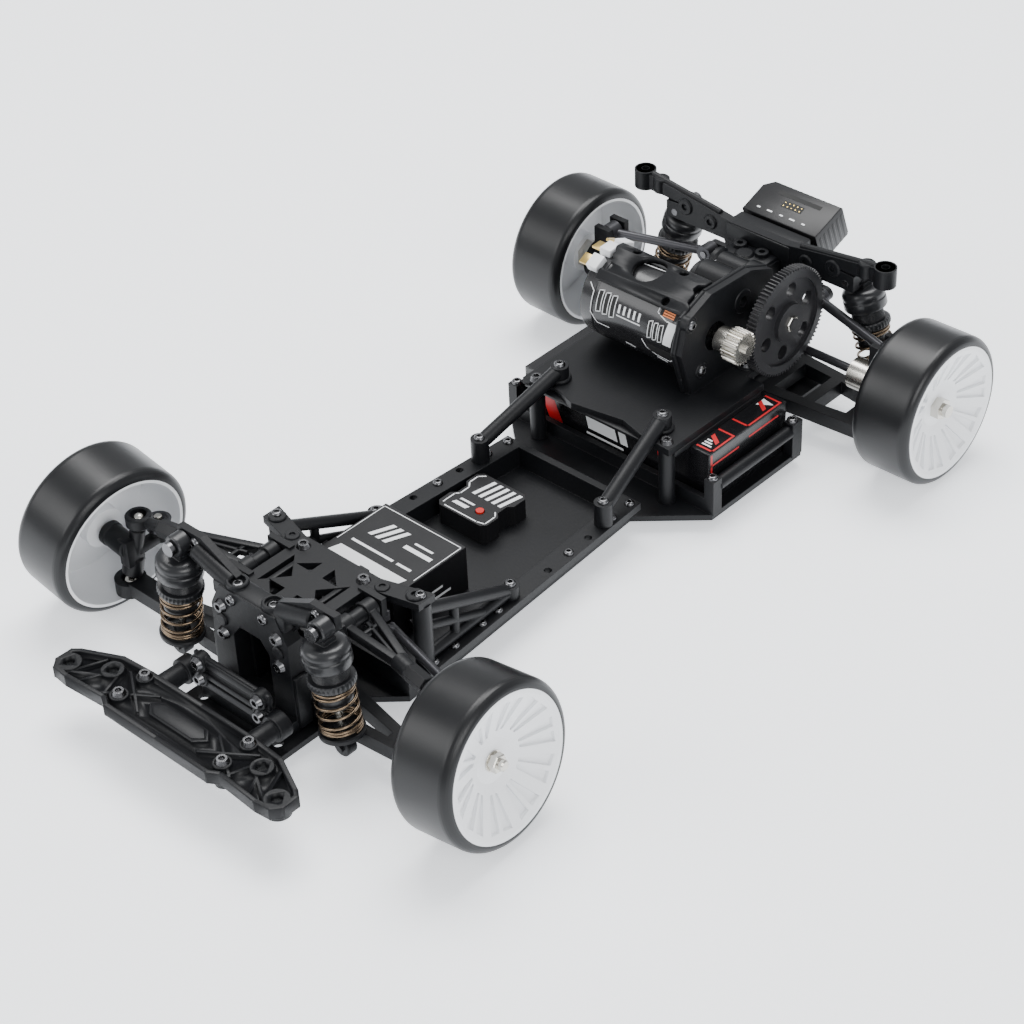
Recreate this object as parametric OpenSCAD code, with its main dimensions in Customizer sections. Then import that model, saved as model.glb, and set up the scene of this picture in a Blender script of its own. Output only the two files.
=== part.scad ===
// Two-wheel-drive drift car chassis, tenth scale, bodyshell removed.
// +X is the car's left, -Y is its front, +Z is up. The tyres stand on z = 0.
// The origin is the middle of the overall length, on the ground.

/* [Overall] */
// distance between front and rear axles
wheelbase = 256; // [250:1:258]
// bumper nose to the rear face of the speed control
overall_length = 360; // [358:1:366]
// bumper nose to front axle
front_overhang = 59.5; // [58:0.5:61]
// height of the tub's underside above the ground
ride_height = 4.5; // [4:0.1:5]

/* [Wheels] */
// outside radius of a tyre
tyre_r = 30.4; // [30:0.1:31]
// tyre and rim width
tyre_w = 25.7; // [25:0.1:26]
// radius of the tyre's shoulders
shoulder_r = 3.5; // [2.5:0.1:4]
// outside radius of the rim barrel
rim_r = 26.9; // [26.5:0.1:27.2]
// wall of the rim barrel
rim_wall = 1.2; // [1:0.1:1.5]
// twin-slot spokes in a rim face
spokes = 10; // [8:1:10]
// distance from the centre line to a front wheel's middle
front_track = 94.8; // [94.5:0.1:96]
// distance from the centre line to a rear wheel's middle
rear_track = 88; // [87.8:0.1:89]
// front negative camber, degrees
front_camber = 6.9; // [6:0.1:7.5]
// front toe-out of one wheel, degrees
front_toe = 2.4; // [2:0.1:3]
// rear negative camber, degrees
rear_camber = 0.9; // [0.5:0.1:1.5]

/* [Gears] */
// spur gear teeth
spur_teeth = 84; // [84]
// motor pinion teeth
pinion_teeth = 24; // [24]
// tooth size of spur and pinion, pitch diameter over teeth
spur_module = 0.5292; // [0.5292]
// final drive gear teeth
final_teeth = 48; // [48]
// top shaft gear teeth
shaft_teeth = 18; // [18]
// tooth size of the final drive
final_module = 0.8; // [0.8]

/* [Electrics] */
// motor can radius
motor_r = 18; // [17.5:0.1:18]
// motor can length
motor_l = 51; // [48:0.5:52]
// battery length, width and height
battery_size = [94, 46.4, 23]; // [90:1:94]
// servo case length, depth and thickness
servo_size = [41, 38, 19.5]; // [38:1:41]
// gyro side
gyro_w = 25; // [23:0.5:25]

/* [Fits] */
// running clearance of a pin or shaft, on the radius
fit = 0.06; // [0.03:0.01:0.09]
// radius of the suspension pins
pin_r = 1.5; // [1.4:0.05:1.5]

/* [Hidden] */

$fn = 40;
small_fn = 20;

yf = -overall_length / 2 + front_overhang;
yr = yf + wheelbase;
floor_t = 2.5;
floor_top = ride_height + floor_t;
rim_top = 16;
function wheel_height(camber) = (tyre_r - shoulder_r) * cos(camber)
  + (tyre_w / 2 - shoulder_r) * sin(camber) + shoulder_r;
front_z = wheel_height(front_camber);
rear_z = wheel_height(rear_camber);

// suspension points on the left side, [x, y, z]
arm_in = [16, 12];
front_ball = [83, yf, 11];
kingpin_top = [77.6, yf + 4, 41];
upper_in = [24.5, 43];
rear_pin = [70, 12];
rear_upper_out = [70, 46];
rear_upper_in = [28, 47];
rear_link_y = yr + 11.5;
front_shock_top = [35.5, yf - 11, 60];
front_shock_low = [41.5, yf - 11, 12];
rear_shock_top = [43, yr + 17.5, 61.5];
rear_shock_low = [57, yr + 17.5, 15];
tie_out = [79, yf + 13.5, 33];
tie_in = [22, yf + 28, 33];
horn_axis = [0, yf + 43, 16.3];
motor_axis = [yr - 43.7, 54.6];
spur_axis = [yr - 15.2, 52];

plastic = [0.07, 0.07, 0.08];
steel = [0.7, 0.7, 0.72];
dark_steel = [0.22, 0.22, 0.24];
rubber = [0.03, 0.03, 0.035];
white = [0.93, 0.93, 0.93];
bronze = [0.62, 0.48, 0.28];

// ---------- shared shapes ----------
function unit(v) = v / norm(v);
function side_poly(p) = concat(p, [for (i = [len(p) - 1:-1:0]) [-p[i][0], p[i][1]]]);

module rod(p, q, r, r2 = 0) {
  v = q - p;
  translate(p)
    rotate([0, acos(v[2] / norm(v)), atan2(v[1], v[0])])
      cylinder(h = norm(v), r1 = r, r2 = r2 > 0 ? r2 : r);
}

module xcyl(r, x0, x1, y, z) {
  translate([x0, y, z]) rotate([0, 90, 0]) cylinder(h = x1 - x0, r = r);
}

module ycyl(r, y0, y1, x, z) {
  translate([x, y1, z]) rotate([90, 0, 0]) cylinder(h = y1 - y0, r = r);
}

module zcyl(r, x, y, z0, z1) {
  translate([x, y, z0]) cylinder(h = z1 - z0, r = r);
}

module box(x0, x1, y0, y1, z0, z1) {
  translate([x0, y0, z0]) cube([x1 - x0, y1 - y0, z1 - z0]);
}

module both_sides() {
  children();
  mirror([1, 0, 0]) children();
}

module on_side(s) {
  mirror([s < 0 ? 1 : 0, 0, 0]) children();
}

// a plate standing across the car, drawn as [x, z], from y0 to y1
module cross_plate(points, y0, y1) {
  translate([0, y1, 0]) rotate([90, 0, 0]) linear_extrude(y1 - y0) polygon(points);
}

// a plate standing along the car, drawn as [y, z], from x0 to x1
module side_plate(points, x0, x1) {
  translate([x0, 0, 0]) rotate([90, 0, 90]) linear_extrude(x1 - x0) polygon(points);
}

// ---------- gears ----------
inv20 = 0.8539;
function inv_deg(a) = tan(a) * 180 / PI - a;
function flank(z, m, r) = 90 / z + inv20
  - inv_deg(acos(min(1, m * z / 2 * cos(20) / r)))
  - backlash * 90 / (PI * m * z / 2);
backlash = 0.12;

function tooth(z, m, i) =
  let (p = m * z / 2, root = p - 1.25 * m, base = max(p * cos(20), root + 0.02),
       tip = p + m, mid = (p + tip) / 2, a = i * 360 / z)
  [for (k = [[root, -flank(z, m, base) - 0.15], [base, -flank(z, m, base)],
             [p, -flank(z, m, p)], [mid, -flank(z, m, mid)], [tip, -flank(z, m, tip)],
             [tip, flank(z, m, tip)], [mid, flank(z, m, mid)], [p, flank(z, m, p)],
             [base, flank(z, m, base)], [root, flank(z, m, base) + 0.15]])
    k[0] * [cos(a + k[1]), sin(a + k[1])]];

module gear_2d(z, m, turn) {
  rotate(turn) polygon([for (i = [0:z - 1]) each tooth(z, m, i)]);
}

// a gear on the X axis, its teeth counted from +Y towards +Z
module gear(z, m, turn, x0, x1, y, zc) {
  translate([x0, y, zc]) rotate([90, 0, 90]) linear_extrude(x1 - x0) gear_2d(z, m, turn);
}

mesh_angle = atan2(spur_axis[1] - motor_axis[1], spur_axis[0] - motor_axis[0]);
pinion_turn = mesh_angle;
spur_turn = mesh_angle + 180 + 180 / spur_teeth;
final_angle = atan2(rear_z - spur_axis[1], yr - spur_axis[0]);
shaft_turn = final_angle;
final_turn = final_angle + 180 + 180 / final_teeth;

// ---------- fasteners ----------
head_r = 2.7;
head_h = 1.7;
socket_r = 1.25;
shank = 7;

bumper_screws = [[26.4, yf - 40.1], [26.3, yf - 52]];
cross_screws = [[15.2, 26.2], [15.2, 19.6]];
tower_screws = [[14, 45], [14, 33]];
top_screws = [[15, yf + 27.3], [15, yf - 2]];
deck_screws = [[33, yf + 168.5], [24, yf + 227.5]];
bumper_top = 24;
top_plate_top = 46;
deck_top = 34.5;
cross_front = yf - 25.5;
tower_front = yf - 13;

module button_screw(length = shank) {
  difference() {
    cylinder(h = head_h, r1 = head_r, r2 = head_r * 0.72);
    translate([0, 0, 0.5]) cylinder(h = head_h, r = socket_r, $fn = 6);
  }
  translate([0, 0, -length]) cylinder(h = length, r = pin_r, $fn = small_fn);
}

module screws_and_pins() color(dark_steel) both_sides() {
  for (p = bumper_screws) translate([p[0], p[1], bumper_top]) button_screw(6);
  for (p = cross_screws) translate([p[0], cross_front, p[1]]) rotate([90, 0, 0]) button_screw(5);
  for (p = tower_screws) translate([p[0], tower_front, p[1]]) rotate([90, 0, 0]) button_screw(5);
  for (p = top_screws) translate([p[0], p[1], top_plate_top]) button_screw(3);
  for (p = deck_screws) translate([p[0], p[1], deck_top]) button_screw(8);
  ycyl(pin_r, yf - 11, yf + 14, arm_in[0], arm_in[1]);
  ycyl(pin_r, yf + 3, yf + 25, upper_in[0], upper_in[1]);
  ycyl(pin_r, yf - 14.6, yf - 5, front_shock_top[0], front_shock_top[2]);
  ycyl(pin_r, yr - 20, yr + 20, arm_in[0], arm_in[1]);
  ycyl(pin_r, rear_link_y - 3.4, rear_link_y + 6, rear_upper_in[0], rear_upper_in[1]);
  ycyl(pin_r, yr + 8, yr + 21.1, rear_shock_top[0], rear_shock_top[2]);
  translate([front_shock_top[0], yf - 14.6, front_shock_top[2]])
    rotate([90, 0, 0]) cylinder(h = head_h, r = head_r);
  translate([rear_shock_top[0], yr + 21.1, rear_shock_top[2]])
    rotate([-90, 0, 0]) cylinder(h = head_h, r = head_r);
}

// ---------- tub and frame ----------
tray_front = yf + 24.5;
tray_back = yf + 152;
function tray_x(y, inset) = 42.2 - 8.1 * (y - tray_front) / 127 - inset;
bay_front = yf + 172.5;
bay_back = yf + 227;
leg_r = 3.2;

module tub_floor() {
  linear_extrude(floor_t)
    polygon(side_poly([[25, yf - 27], [25, yf + 14], [36.7, tray_front],
      [tray_x(tray_back, 5.5), tray_back], [52, bay_front], [52, bay_back],
      [30, yr - 21.5], [30, yr + 22]]));
}

module tray_ring(outer, inner, z0, z1) {
  translate([0, 0, z0]) linear_extrude(z1 - z0) difference() {
    polygon(side_poly([[tray_x(tray_front, outer), tray_front],
      [tray_x(tray_back, outer), tray_back]]));
    polygon(side_poly([[tray_x(tray_front, inner), tray_front + 3],
      [tray_x(tray_back, inner), tray_back - 3]]));
  }
}

rim_holes = [[0, yf + 99.6], [0, yf + 123.5]];

module chassis_tub() color(plastic) difference() {
  union() {
    translate([0, 0, ride_height]) tub_floor();
    tray_ring(5.5, 8.5, floor_top - 0.5, rim_top);
    tray_ring(0, 8.5, rim_top - 3, rim_top);
    box(-52, 52, bay_front, bay_front + 2.5, floor_top - 0.5, 13);
    box(-20, 20, bay_back - 3, bay_back, floor_top - 0.5, 13);
    both_sides() {
      box(28, 52, bay_back - 3, bay_back, floor_top - 0.5, 13);
      box(48, 52.5, bay_front, bay_front + 5, floor_top - 0.5, 22);
      box(48, 52.5, bay_back - 6, bay_back, floor_top - 0.5, 22);
      box(12, 20, yr - 20, yr - 16.3, floor_top - 0.5, 16);
      box(12, 20, yr + 16.3, yr + 20, floor_top - 0.5, 16);
    }
  }
  both_sides() {
    for (h = rim_holes) zcyl(pin_r, tray_x(h[1], 3), h[1], rim_top - 4, rim_top + 1);
    ycyl(pin_r + fit, yr - 21, yr + 21, arm_in[0], arm_in[1]);
    zcyl(2, 19, yf - 22, ride_height - 1, floor_top + 1);
  }
}

module front_bulkhead() color(plastic) difference() {
  union() {
    box(-11.5, 11.5, yf - 6.5, yf + 10.5, floor_top, 10);
    both_sides() box(8, 11.5, yf - 6.5, yf + 10.5, floor_top, 43);
    box(-20, 20, yf + 10.5, yf + 14, floor_top, 16);
    cross_plate(side_poly([[9, floor_top], [20, floor_top], [19, 44], [14, 54], [0, 54]])
      , tower_front, yf - 6.5);
    both_sides()
      cross_plate([[10, 46], [17, 46], [25, 58.2], [39, 58.2], [39, 64.5], [27, 64.5], [10, 56]],
        yf - 8, yf - 5);
    box(-20, 20, cross_front + 4, tower_front, floor_top, 12);
  }
  cross_plate(side_poly([[9, 12], [9, 35], [5, 40], [0, 40]]), tower_front - 1, yf - 6);
  both_sides() {
    ycyl(pin_r + fit, yf - 11.1, yf + 15, arm_in[0], arm_in[1]);
    ycyl(pin_r + fit, yf - 9, yf - 4, front_shock_top[0], front_shock_top[2]);
    for (p = tower_screws) ycyl(pin_r + fit, tower_front - 1, tower_front + 5.1, p[0], p[1]);
  }
}

module front_top_plate() color(plastic) difference() {
  union() {
    translate([0, 0, top_plate_top - 3]) linear_extrude(3) difference() {
      polygon(side_poly([[19, yf - 5], [19, yf + 25], [39, yf + 30], [39, yf + 38], [19, yf + 32]]));
      both_sides() {
        polygon([[3, yf], [11, yf + 7], [3, yf + 7]]);
        polygon([[14, yf + 4], [14, yf + 22], [6, yf + 13]]);
        polygon([[3, yf + 19], [10, yf + 19], [3, yf + 25]]);
      }
    }
    both_sides() {
      box(17, 28.5, yf + 3, yf + 5.5, 39, 47);
      box(17, 28.5, yf + 22.5, yf + 25, 39, 47);
    }
  }
  both_sides() {
    ycyl(pin_r, yf + 2, yf + 26, upper_in[0], upper_in[1]);
    for (p = top_screws) zcyl(pin_r, p[0], p[1], 42, 47);
  }
}

// bumper plate, its tubes and the cross bar they bolt to
module front_bumper() color(plastic) {
  difference() {
    union() {
      translate([0, 0, 19]) linear_extrude(bumper_top - 19)
        polygon(side_poly([[0, yf - 59.5], [26, yf - 59.5], [30, yf - 57], [48, yf - 58.5],
          [57.5, yf - 56], [58, yf - 47], [40, yf - 37.5], [26, yf - 36.5], [0, yf - 36.5]]));
      translate([0, 0, 13]) linear_extrude(6)
        polygon(side_poly([[0, yf - 59.5], [26, yf - 59.5], [26, yf - 56.5], [0, yf - 56.5]]));
    }
    both_sides() {
      zcyl(2, 52.9, yf - 52.1, 12, 25);
      zcyl(1.8, 38, yf - 44.9, 12, 25);
      for (p = bumper_screws) zcyl(pin_r, p[0], p[1], 12, 25);
      translate([0, 0, 21]) linear_extrude(4) polygon([[33, yf - 54], [47, yf - 54], [43, yf - 49]]);
    }
    translate([0, 0, 22]) linear_extrude(4)
      polygon(side_poly([[0, yf - 54], [20, yf - 54], [20, yf - 42], [0, yf - 42]]));
  }
  difference() {
    union() {
      box(-26, 26, cross_front, cross_front + 4, 14, 30);
      both_sides() rod([23, cross_front + 1, 18.8], [23, yf - 36.5, 18.8], 3.6);
    }
    both_sides() for (p = cross_screws) ycyl(pin_r, cross_front - 1, cross_front + 5, p[0], p[1]);
  }
}

brace_low = [31.5, yf + 133.8, 23.5];
brace_high = [26, bay_front + 1.9, 39];
post = [36, yf + 34];

module frame_braces() color(plastic) both_sides() {
  difference() {
    union() {
      zcyl(3.5, post[0], post[1], rim_top, top_plate_top - 3);
      rod([post[0], post[1], 40], [34, yf + 80, 19], 2.4);
      rod([post[0], post[1], 18.5], [34, yf + 80, 18.5], 2.2);
      rod([35.2, yf + 50, 18.5], [35.3, yf + 50, 33], 1.8);
      rod([35.5, yf + 36, 31], [35, yf + 64, 19], 1.8);
      zcyl(3.4, 34, yf + 80, rim_top, 21.5);
    }
    zcyl(1.2, 34, yf + 80, 17.5, 22);
    zcyl(1.2, post[0], post[1], 34, 44);
  }
  zcyl(3.6, brace_low[0], brace_low[1], rim_top, 26);
  rod(brace_low, brace_high, 3);
  zcyl(3.6, brace_high[0], brace_high[1], deck_top, 41);
  ycyl(2.7, bay_front + 5, bay_back - 6, 50.2, 18);
}

plate_x = 17;
plate_t = 3.5;

// motor deck over the battery with the upright motor plate as its own piece
module motor_mount_deck() color(plastic) {
  difference() {
    union() {
      translate([0, 0, deck_top - 3]) linear_extrude(3)
        polygon([[-38, yf + 166], [-24, yf + 169], [-12, yf + 165], [11, yf + 169], [22, yf + 166],
          [37, yf + 165], [37, bay_back + 5], [-38, bay_back + 5]]);
      both_sides() for (p = deck_screws) zcyl(leg_r, p[0], p[1], floor_top, deck_top - 2);
    }
    both_sides() for (p = deck_screws) zcyl(pin_r, p[0], p[1], deck_top - 9, deck_top + 1);
    both_sides() rod(brace_low, brace_high - [0, 3.6, 1.4], 3.5);
    box(28.8, 38, bay_back - 5, bay_back + 6, deck_top - 4, deck_top + 1);
  }
  difference() {
    side_plate([[yr - 58, deck_top], [yr - 27, deck_top], [yr - 8, 42], [yr - 7, 56],
      [yr - 9, 68], [yr - 22, 73.5], [yr - 46, 74.5], [yr - 60, 69], [yr - 64, 55], [yr - 60, 42]],
      plate_x, plate_x + plate_t);
    xcyl(6, plate_x - 1, plate_x + 5, motor_axis[0], motor_axis[1]);
    xcyl(3.4, plate_x - 1, plate_x + 5, spur_axis[0], spur_axis[1]);
    xcyl(4, plate_x - 1, plate_x + 5, yr - 26, 62);
  }
}

// ---------- electrics ----------
module battery() color([0.05, 0.05, 0.05])
  box(-battery_size[0] / 2, battery_size[0] / 2, yf + 177, yf + 177 + battery_size[1],
    floor_top, floor_top + battery_size[2]);

module servo() color(plastic) {
  translate([-9 - servo_size[0] / 2, horn_axis[1], floor_top]) cube(servo_size);
  box(-32, 14, horn_axis[1] + 7, horn_axis[1] + 9.5, floor_top, floor_top + 18);
}

module servo_horn() color([0.1, 0.1, 0.1]) {
  ycyl(4.5, horn_axis[1] - 3.6, horn_axis[1] - 0.3, 0, horn_axis[2]);
  box(-2.2, 2.2, horn_axis[1] - 3.6, horn_axis[1] - 1.2, horn_axis[2], tie_in[2] + 2.2);
  ycyl(1.4, tie_in[1] - 2, horn_axis[1] - 2, 0, tie_in[2]);
}

module steering_rack() color(dark_steel) {
  difference() {
    union() {
      box(-23.5, 23.5, tie_in[1] - 2.5, tie_in[1] + 2.5, 31, 35);
      box(-6, 6, tie_in[1] - 2.5, tie_in[1] + 2.5, 27, 39);
    }
    box(-1.75, 1.75, tie_in[1] - 3, tie_in[1] + 3, 29, 36.5);
  }
  both_sides() ycyl(pin_r, tie_in[1] - 8.5, tie_in[1] - 2.4, tie_in[0], tie_in[2]);
}

gyro_box = [-26, yf + 103, floor_top];
button_at = [-9, yf + 109.5];

module gyro() color(plastic) difference() {
  translate(gyro_box) linear_extrude(9)
    polygon([[2, 0], [gyro_w - 2, 0], [gyro_w, 2], [gyro_w, 8], [gyro_w - 2, 10],
      [gyro_w - 2, 15], [gyro_w, 17], [gyro_w, gyro_w - 2], [gyro_w - 2, gyro_w], [2, gyro_w],
      [0, gyro_w - 2], [0, 17], [2, 15], [2, 10], [0, 8], [0, 2]]);
  zcyl(1.9, button_at[0], button_at[1], floor_top + 6, floor_top + 10);
}

module gyro_button() color([0.75, 0.06, 0.05])
  zcyl(1.6, button_at[0], button_at[1], floor_top + 6.8, floor_top + 9.6);

module motor() color([0.06, 0.06, 0.07]) difference() {
  union() {
    xcyl(motor_r, plate_x - motor_l + 6, plate_x, motor_axis[0], motor_axis[1]);
    xcyl(motor_r - 1.2, plate_x - motor_l, plate_x - motor_l + 6, motor_axis[0], motor_axis[1]);
  }
  xcyl(1.6 + fit, 0, plate_x + 1, motor_axis[0], motor_axis[1]);
}

module speed_control() color([0.06, 0.06, 0.07])
  translate([0, esc_y, esc_z]) rotate([esc_tilt, 0, 0]) difference() {
    box(-18.5, 18.5, 0, esc_l, -esc_h, 0);
    for (i = [0:10]) box(-16.5 + i * 3, -15 + i * 3, esc_l - 3, esc_l + 1, -esc_h - 1, -2);
    translate([0, 0, -esc_h - 1]) linear_extrude(esc_h + 2)
      polygon([[-19, esc_l - 4], [-15, esc_l + 1], [-19, esc_l + 1]]);
    box(-9, 9, esc_l - 7, esc_l - 4.6, -1.2, 1);
  }

esc_tilt = 19.5;
esc_l = 19;
esc_h = 16;
esc_y = overall_length / 2 - esc_l * cos(esc_tilt) - esc_h * sin(esc_tilt);
esc_z = 66.9;

// ---------- drive ----------
case_half = 11;
cavity_half = 6.5;

module pinion_gear() color(steel) {
  gear(pinion_teeth, spur_module, pinion_turn, 28.4, 35, motor_axis[0], motor_axis[1]);
  xcyl(5.2, 23.2, 28.4, motor_axis[0], motor_axis[1]);
  xcyl(1.6, 1, 36.6, motor_axis[0], motor_axis[1]);
}

module spur_gear() color(plastic) {
  difference() {
    gear(spur_teeth, spur_module, spur_turn, 30, 34, spur_axis[0], spur_axis[1]);
    for (i = [0:5])
      translate([29, spur_axis[0], spur_axis[1]]) rotate([i * 60 + 20, 0, 0])
        translate([0, 13.5, 0]) rotate([0, 90, 0]) cylinder(h = 6, r = 3);
    xcyl(18.5, 33, 35, spur_axis[0], spur_axis[1]);
  }
  xcyl(8, 33, 35.2, spur_axis[0], spur_axis[1]);
  xcyl(5.5, 22, 30, spur_axis[0], spur_axis[1]);
  xcyl(2.5, -9, 37, spur_axis[0], spur_axis[1]);
  gear(shaft_teeth, final_module, shaft_turn, -4, 4, spur_axis[0], spur_axis[1]);
}

module final_gear() color([0.85, 0.85, 0.82]) difference() {
  union() {
    gear(final_teeth, final_module, final_turn, -3.5, 3.5, yr, rear_z);
    both_sides() xcyl(6, 3.4, 17, yr, rear_z);
  }
  both_sides() xcyl(4.6, 8.4, 18, yr, rear_z);
}

module gearbox_case() color(plastic) difference() {
  union() {
    xcyl(23, -case_half, case_half, yr, rear_z);
    xcyl(10.2, -case_half, case_half, spur_axis[0], spur_axis[1]);
    box(-case_half, case_half, yr - 14, yr + 8, rear_z, 60);
    box(-case_half, case_half, yr - 16, yr + 16, floor_top, 14);
    both_sides() {
      box(case_half - 3, 28, rear_link_y + 3.3, rear_link_y + 6, 44, 50);
      ycyl(3, rear_link_y + 3.3, rear_link_y + 6, rear_upper_in[0], rear_upper_in[1]);
    }
  }
  xcyl(20.8, -cavity_half, cavity_half, yr, rear_z);
  xcyl(8.8, -cavity_half, cavity_half, spur_axis[0], spur_axis[1]);
  xcyl(6 + fit, -case_half - 1, case_half + 1, yr, rear_z);
  xcyl(2.5 + fit, -9.5, case_half + 1, spur_axis[0], spur_axis[1]);
  both_sides() ycyl(pin_r + fit, rear_link_y, rear_link_y + 7, rear_upper_in[0], rear_upper_in[1]);
}

module rear_tower() color(plastic) difference() {
  union() {
    cross_plate(side_poly([[15, 54], [17, 59], [47, 59], [47, 66], [34, 67], [56, 67.5],
      [56, 74], [30, 70.5], [14, 68], [0, 68]]), yr + 8, yr + 12);
    both_sides() zcyl(4.5, 60, yr + 10.3, 67, 75);
    both_sides() box(54, 58, yr + 8, yr + 12, 67.5, 74);
    both_sides() ycyl(3.4, yr + 11.5, yr + 14.4, rear_shock_top[0], rear_shock_top[2]);
    box(-15, 15, yr + 12, yr + 20.5, 61, 65);
    translate([0, esc_y, esc_z]) rotate([esc_tilt, 0, 0]) box(-15, 15, -3, 0, -esc_h, -3);
  }
  both_sides() {
    zcyl(1.6, 60, yr + 10.3, 66, 76);
    ycyl(pin_r + fit, yr + 7, yr + 15, rear_shock_top[0], rear_shock_top[2]);
    zcyl(2.2, 10, yr + 15.5, 60, 67);
  }
}

// ---------- wheels ----------
// a wheel's own frame: its axis is X, pointing outboard, its middle is the origin
module at_front_wheel() {
  translate([front_track, yf, front_z]) rotate([0, -front_camber, front_toe]) children();
}

module at_rear_wheel() {
  translate([rear_track, yr, rear_z]) rotate([0, -rear_camber, 0]) children();
}

module lathe() {
  rotate([0, 90, 0]) rotate_extrude($fn = 96) children();
}

module tyre() color(rubber) lathe() {
  w = tyre_w / 2;
  s = shoulder_r;
  polygon(concat([[rim_r, w], [rim_r, -w]],
    [for (a = [-90:15:0]) [tyre_r - s + s * cos(a), -w + s + s * sin(a)]],
    [for (a = [0:15:90]) [tyre_r - s + s * cos(a), w - s + s * sin(a)]]));
}

hub_face = 5.9;
slot_depth = 1.3;

// the revolved shell of a rim: barrel, dished face and hub
module rim(hub_back, bore) color(white) difference() {
  union() {
    lathe() polygon([[rim_r, -tyre_w / 2], [rim_r, tyre_w / 2], [rim_r - 1.4, tyre_w / 2],
      [8, hub_face], [8, hub_face - 2.4], [rim_r - 1.4, tyre_w / 2 - 3],
      [rim_r - rim_wall, tyre_w / 2 - 4], [rim_r - rim_wall, -tyre_w / 2]]);
    lathe() square_ring(0.01, 8.2, hub_back, hub_face);
  }
  rotate([0, 90, 0]) cylinder(h = 60, r = bore, center = true);
  intersection() {
    lathe() polygon([[8, hub_face + 9], [8, hub_face - slot_depth],
      [rim_r - 1.4, tyre_w / 2 - slot_depth], [rim_r - 1.4, hub_face + 9]]);
    union() for (i = [0:spokes - 1]) for (k = [-1, 1])
      rotate([i * 360 / spokes, 0, 0]) rotate([90, 0, 90]) linear_extrude(20)
        polygon([[11.5, k * 0.6], [11.5, k * 1.7], [23.4, k * 5.2], [23.4, k * 1]]);
  }
}

module square_ring(r0, r1, x0, x1) {
  polygon([[r0, x0], [r1, x0], [r1, x1], [r0, x1]]);
}

module front_wheel() at_front_wheel() rim(-1, 2 + fit);
module rear_wheel() at_rear_wheel() rim(-4, 2.5 + fit);

// ---------- front corner, left side ----------
king = unit(kingpin_top - front_ball);
king_len = norm(kingpin_top - front_ball);
function on_king(t) = front_ball + king * t;

module knuckle() color(plastic) {
  difference() {
    rod(on_king(5.5), on_king(14), 4);
    rod(on_king(4), on_king(12.8), pin_r + fit);
  }
  rod(on_king(13.9), on_king(26.5), 3);
  rod(on_king(26), on_king(king_len - 1), 1.3);
  translate(kingpin_top) sphere(r = 2.4);
  at_front_wheel() {
    rotate([0, 90, 0]) translate([0, 0, -15.5]) cylinder(h = 12.5, r = 4.6);
    rotate([0, 90, 0]) translate([0, 0, -4]) cylinder(h = 15.5, r = 2);
    rotate([0, 90, 0]) translate([0, 0, hub_face + 0.3]) cylinder(h = 3.2, r = 3.5, $fn = 6);
  }
  box(76.8, 81.2, yf + 2, yf + 15.5, 25.5, 29.5);
  zcyl(1.5, tie_out[0], tie_out[1], 29, 36.5);
}

module ball_stud() color(steel) {
  translate(front_ball) sphere(r = 3.2);
  rod(front_ball, on_king(12.4), pin_r);
}

module front_lower_arm() color(plastic) difference() {
  union() {
    translate([0, yf, 9]) linear_extrude(6)
      polygon([[16, -6], [36, -6], [60, -4], [79, -4], [79, 4], [60, 4], [30, 10], [16, 10]]);
    ycyl(4, yf - 6, yf + 10, arm_in[0], arm_in[1]);
    zcyl(6, front_ball[0], front_ball[1], 8, 14);
    ycyl(pin_r, yf - 14.3, yf - 5, front_shock_low[0], front_shock_low[2]);
  }
  ycyl(pin_r + fit, yf - 7, yf + 11, arm_in[0], arm_in[1]);
  zcyl(3.28, front_ball[0], front_ball[1], 7, 16);
  translate([0, yf, 8]) linear_extrude(8) polygon([[24, -2], [52, -1], [52, 1.5], [30, 5], [24, 5]]);
}

module front_upper_arm() color(plastic) difference() {
  union() {
    rod([27, yf + 9, upper_in[1]], kingpin_top - [3.9, 0.4, 0], 1.7);
    rod([27, yf + 19, upper_in[1]], kingpin_top - [5.6, -1.8, 0], 1.6);
    ycyl(3.7, yf + 5.8, yf + 22.2, upper_in[0], upper_in[1]);
    zcyl(5, kingpin_top[0], kingpin_top[1], 38.6, 43.4);
  }
  ycyl(pin_r + fit, yf + 5, yf + 23, upper_in[0], upper_in[1]);
  zcyl(3.15, kingpin_top[0], kingpin_top[1], 37, 45);
}

module tie_rod() color(dark_steel) difference() {
  union() {
    rod(tie_in + [6, -1.53, 0], tie_out - [3.8, -0.97, 0], 1.7);
    ycyl(3.4, tie_in[1] - 2.2 - 5, tie_in[1] - 2.2 - 0.7, tie_in[0], tie_in[2]);
    rod(tie_in + [2, -5.4, 0], tie_in + [9, -2.3, 0], 1.8);
    zcyl(4.9, tie_out[0], tie_out[1], 31.2, 34.8);
  }
  zcyl(3.5, tie_out[0], tie_out[1], 30, 36);
  ycyl(pin_r + fit, tie_in[1] - 9, tie_in[1] - 2.4, tie_in[0], tie_in[2]);
}

// ---------- shocks ----------
// a shock's own frame: top eye at the origin, the rod leaving along -Z
module at_shock(top, low) {
  d = low - top;
  translate(top) rotate([0, -atan2(d[0], -d[2]), 0]) children();
}

spring_top = -22;

module shock_body() color(plastic) difference() {
  union() {
    ycyl(4, -2.8, 2.8, 0, 0);
    translate([-2.5, -2.8, -7]) cube([5, 5.6, 5]);
    translate([0, 0, -14]) cylinder(h = 8, r1 = 8.6, r2 = 7.6);
    translate([0, 0, -29]) cylinder(h = 16, r = 6);
    translate([0, 0, spring_top]) cylinder(h = 3, r = 8.6);
    translate([0, 0, -31]) cylinder(h = 2.5, r = 3.6);
  }
  ycyl(pin_r + fit, -3, 3, 0, 0);
  translate([0, 0, -32]) cylinder(h = 14.6, r = pin_r + fit);
}

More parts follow.
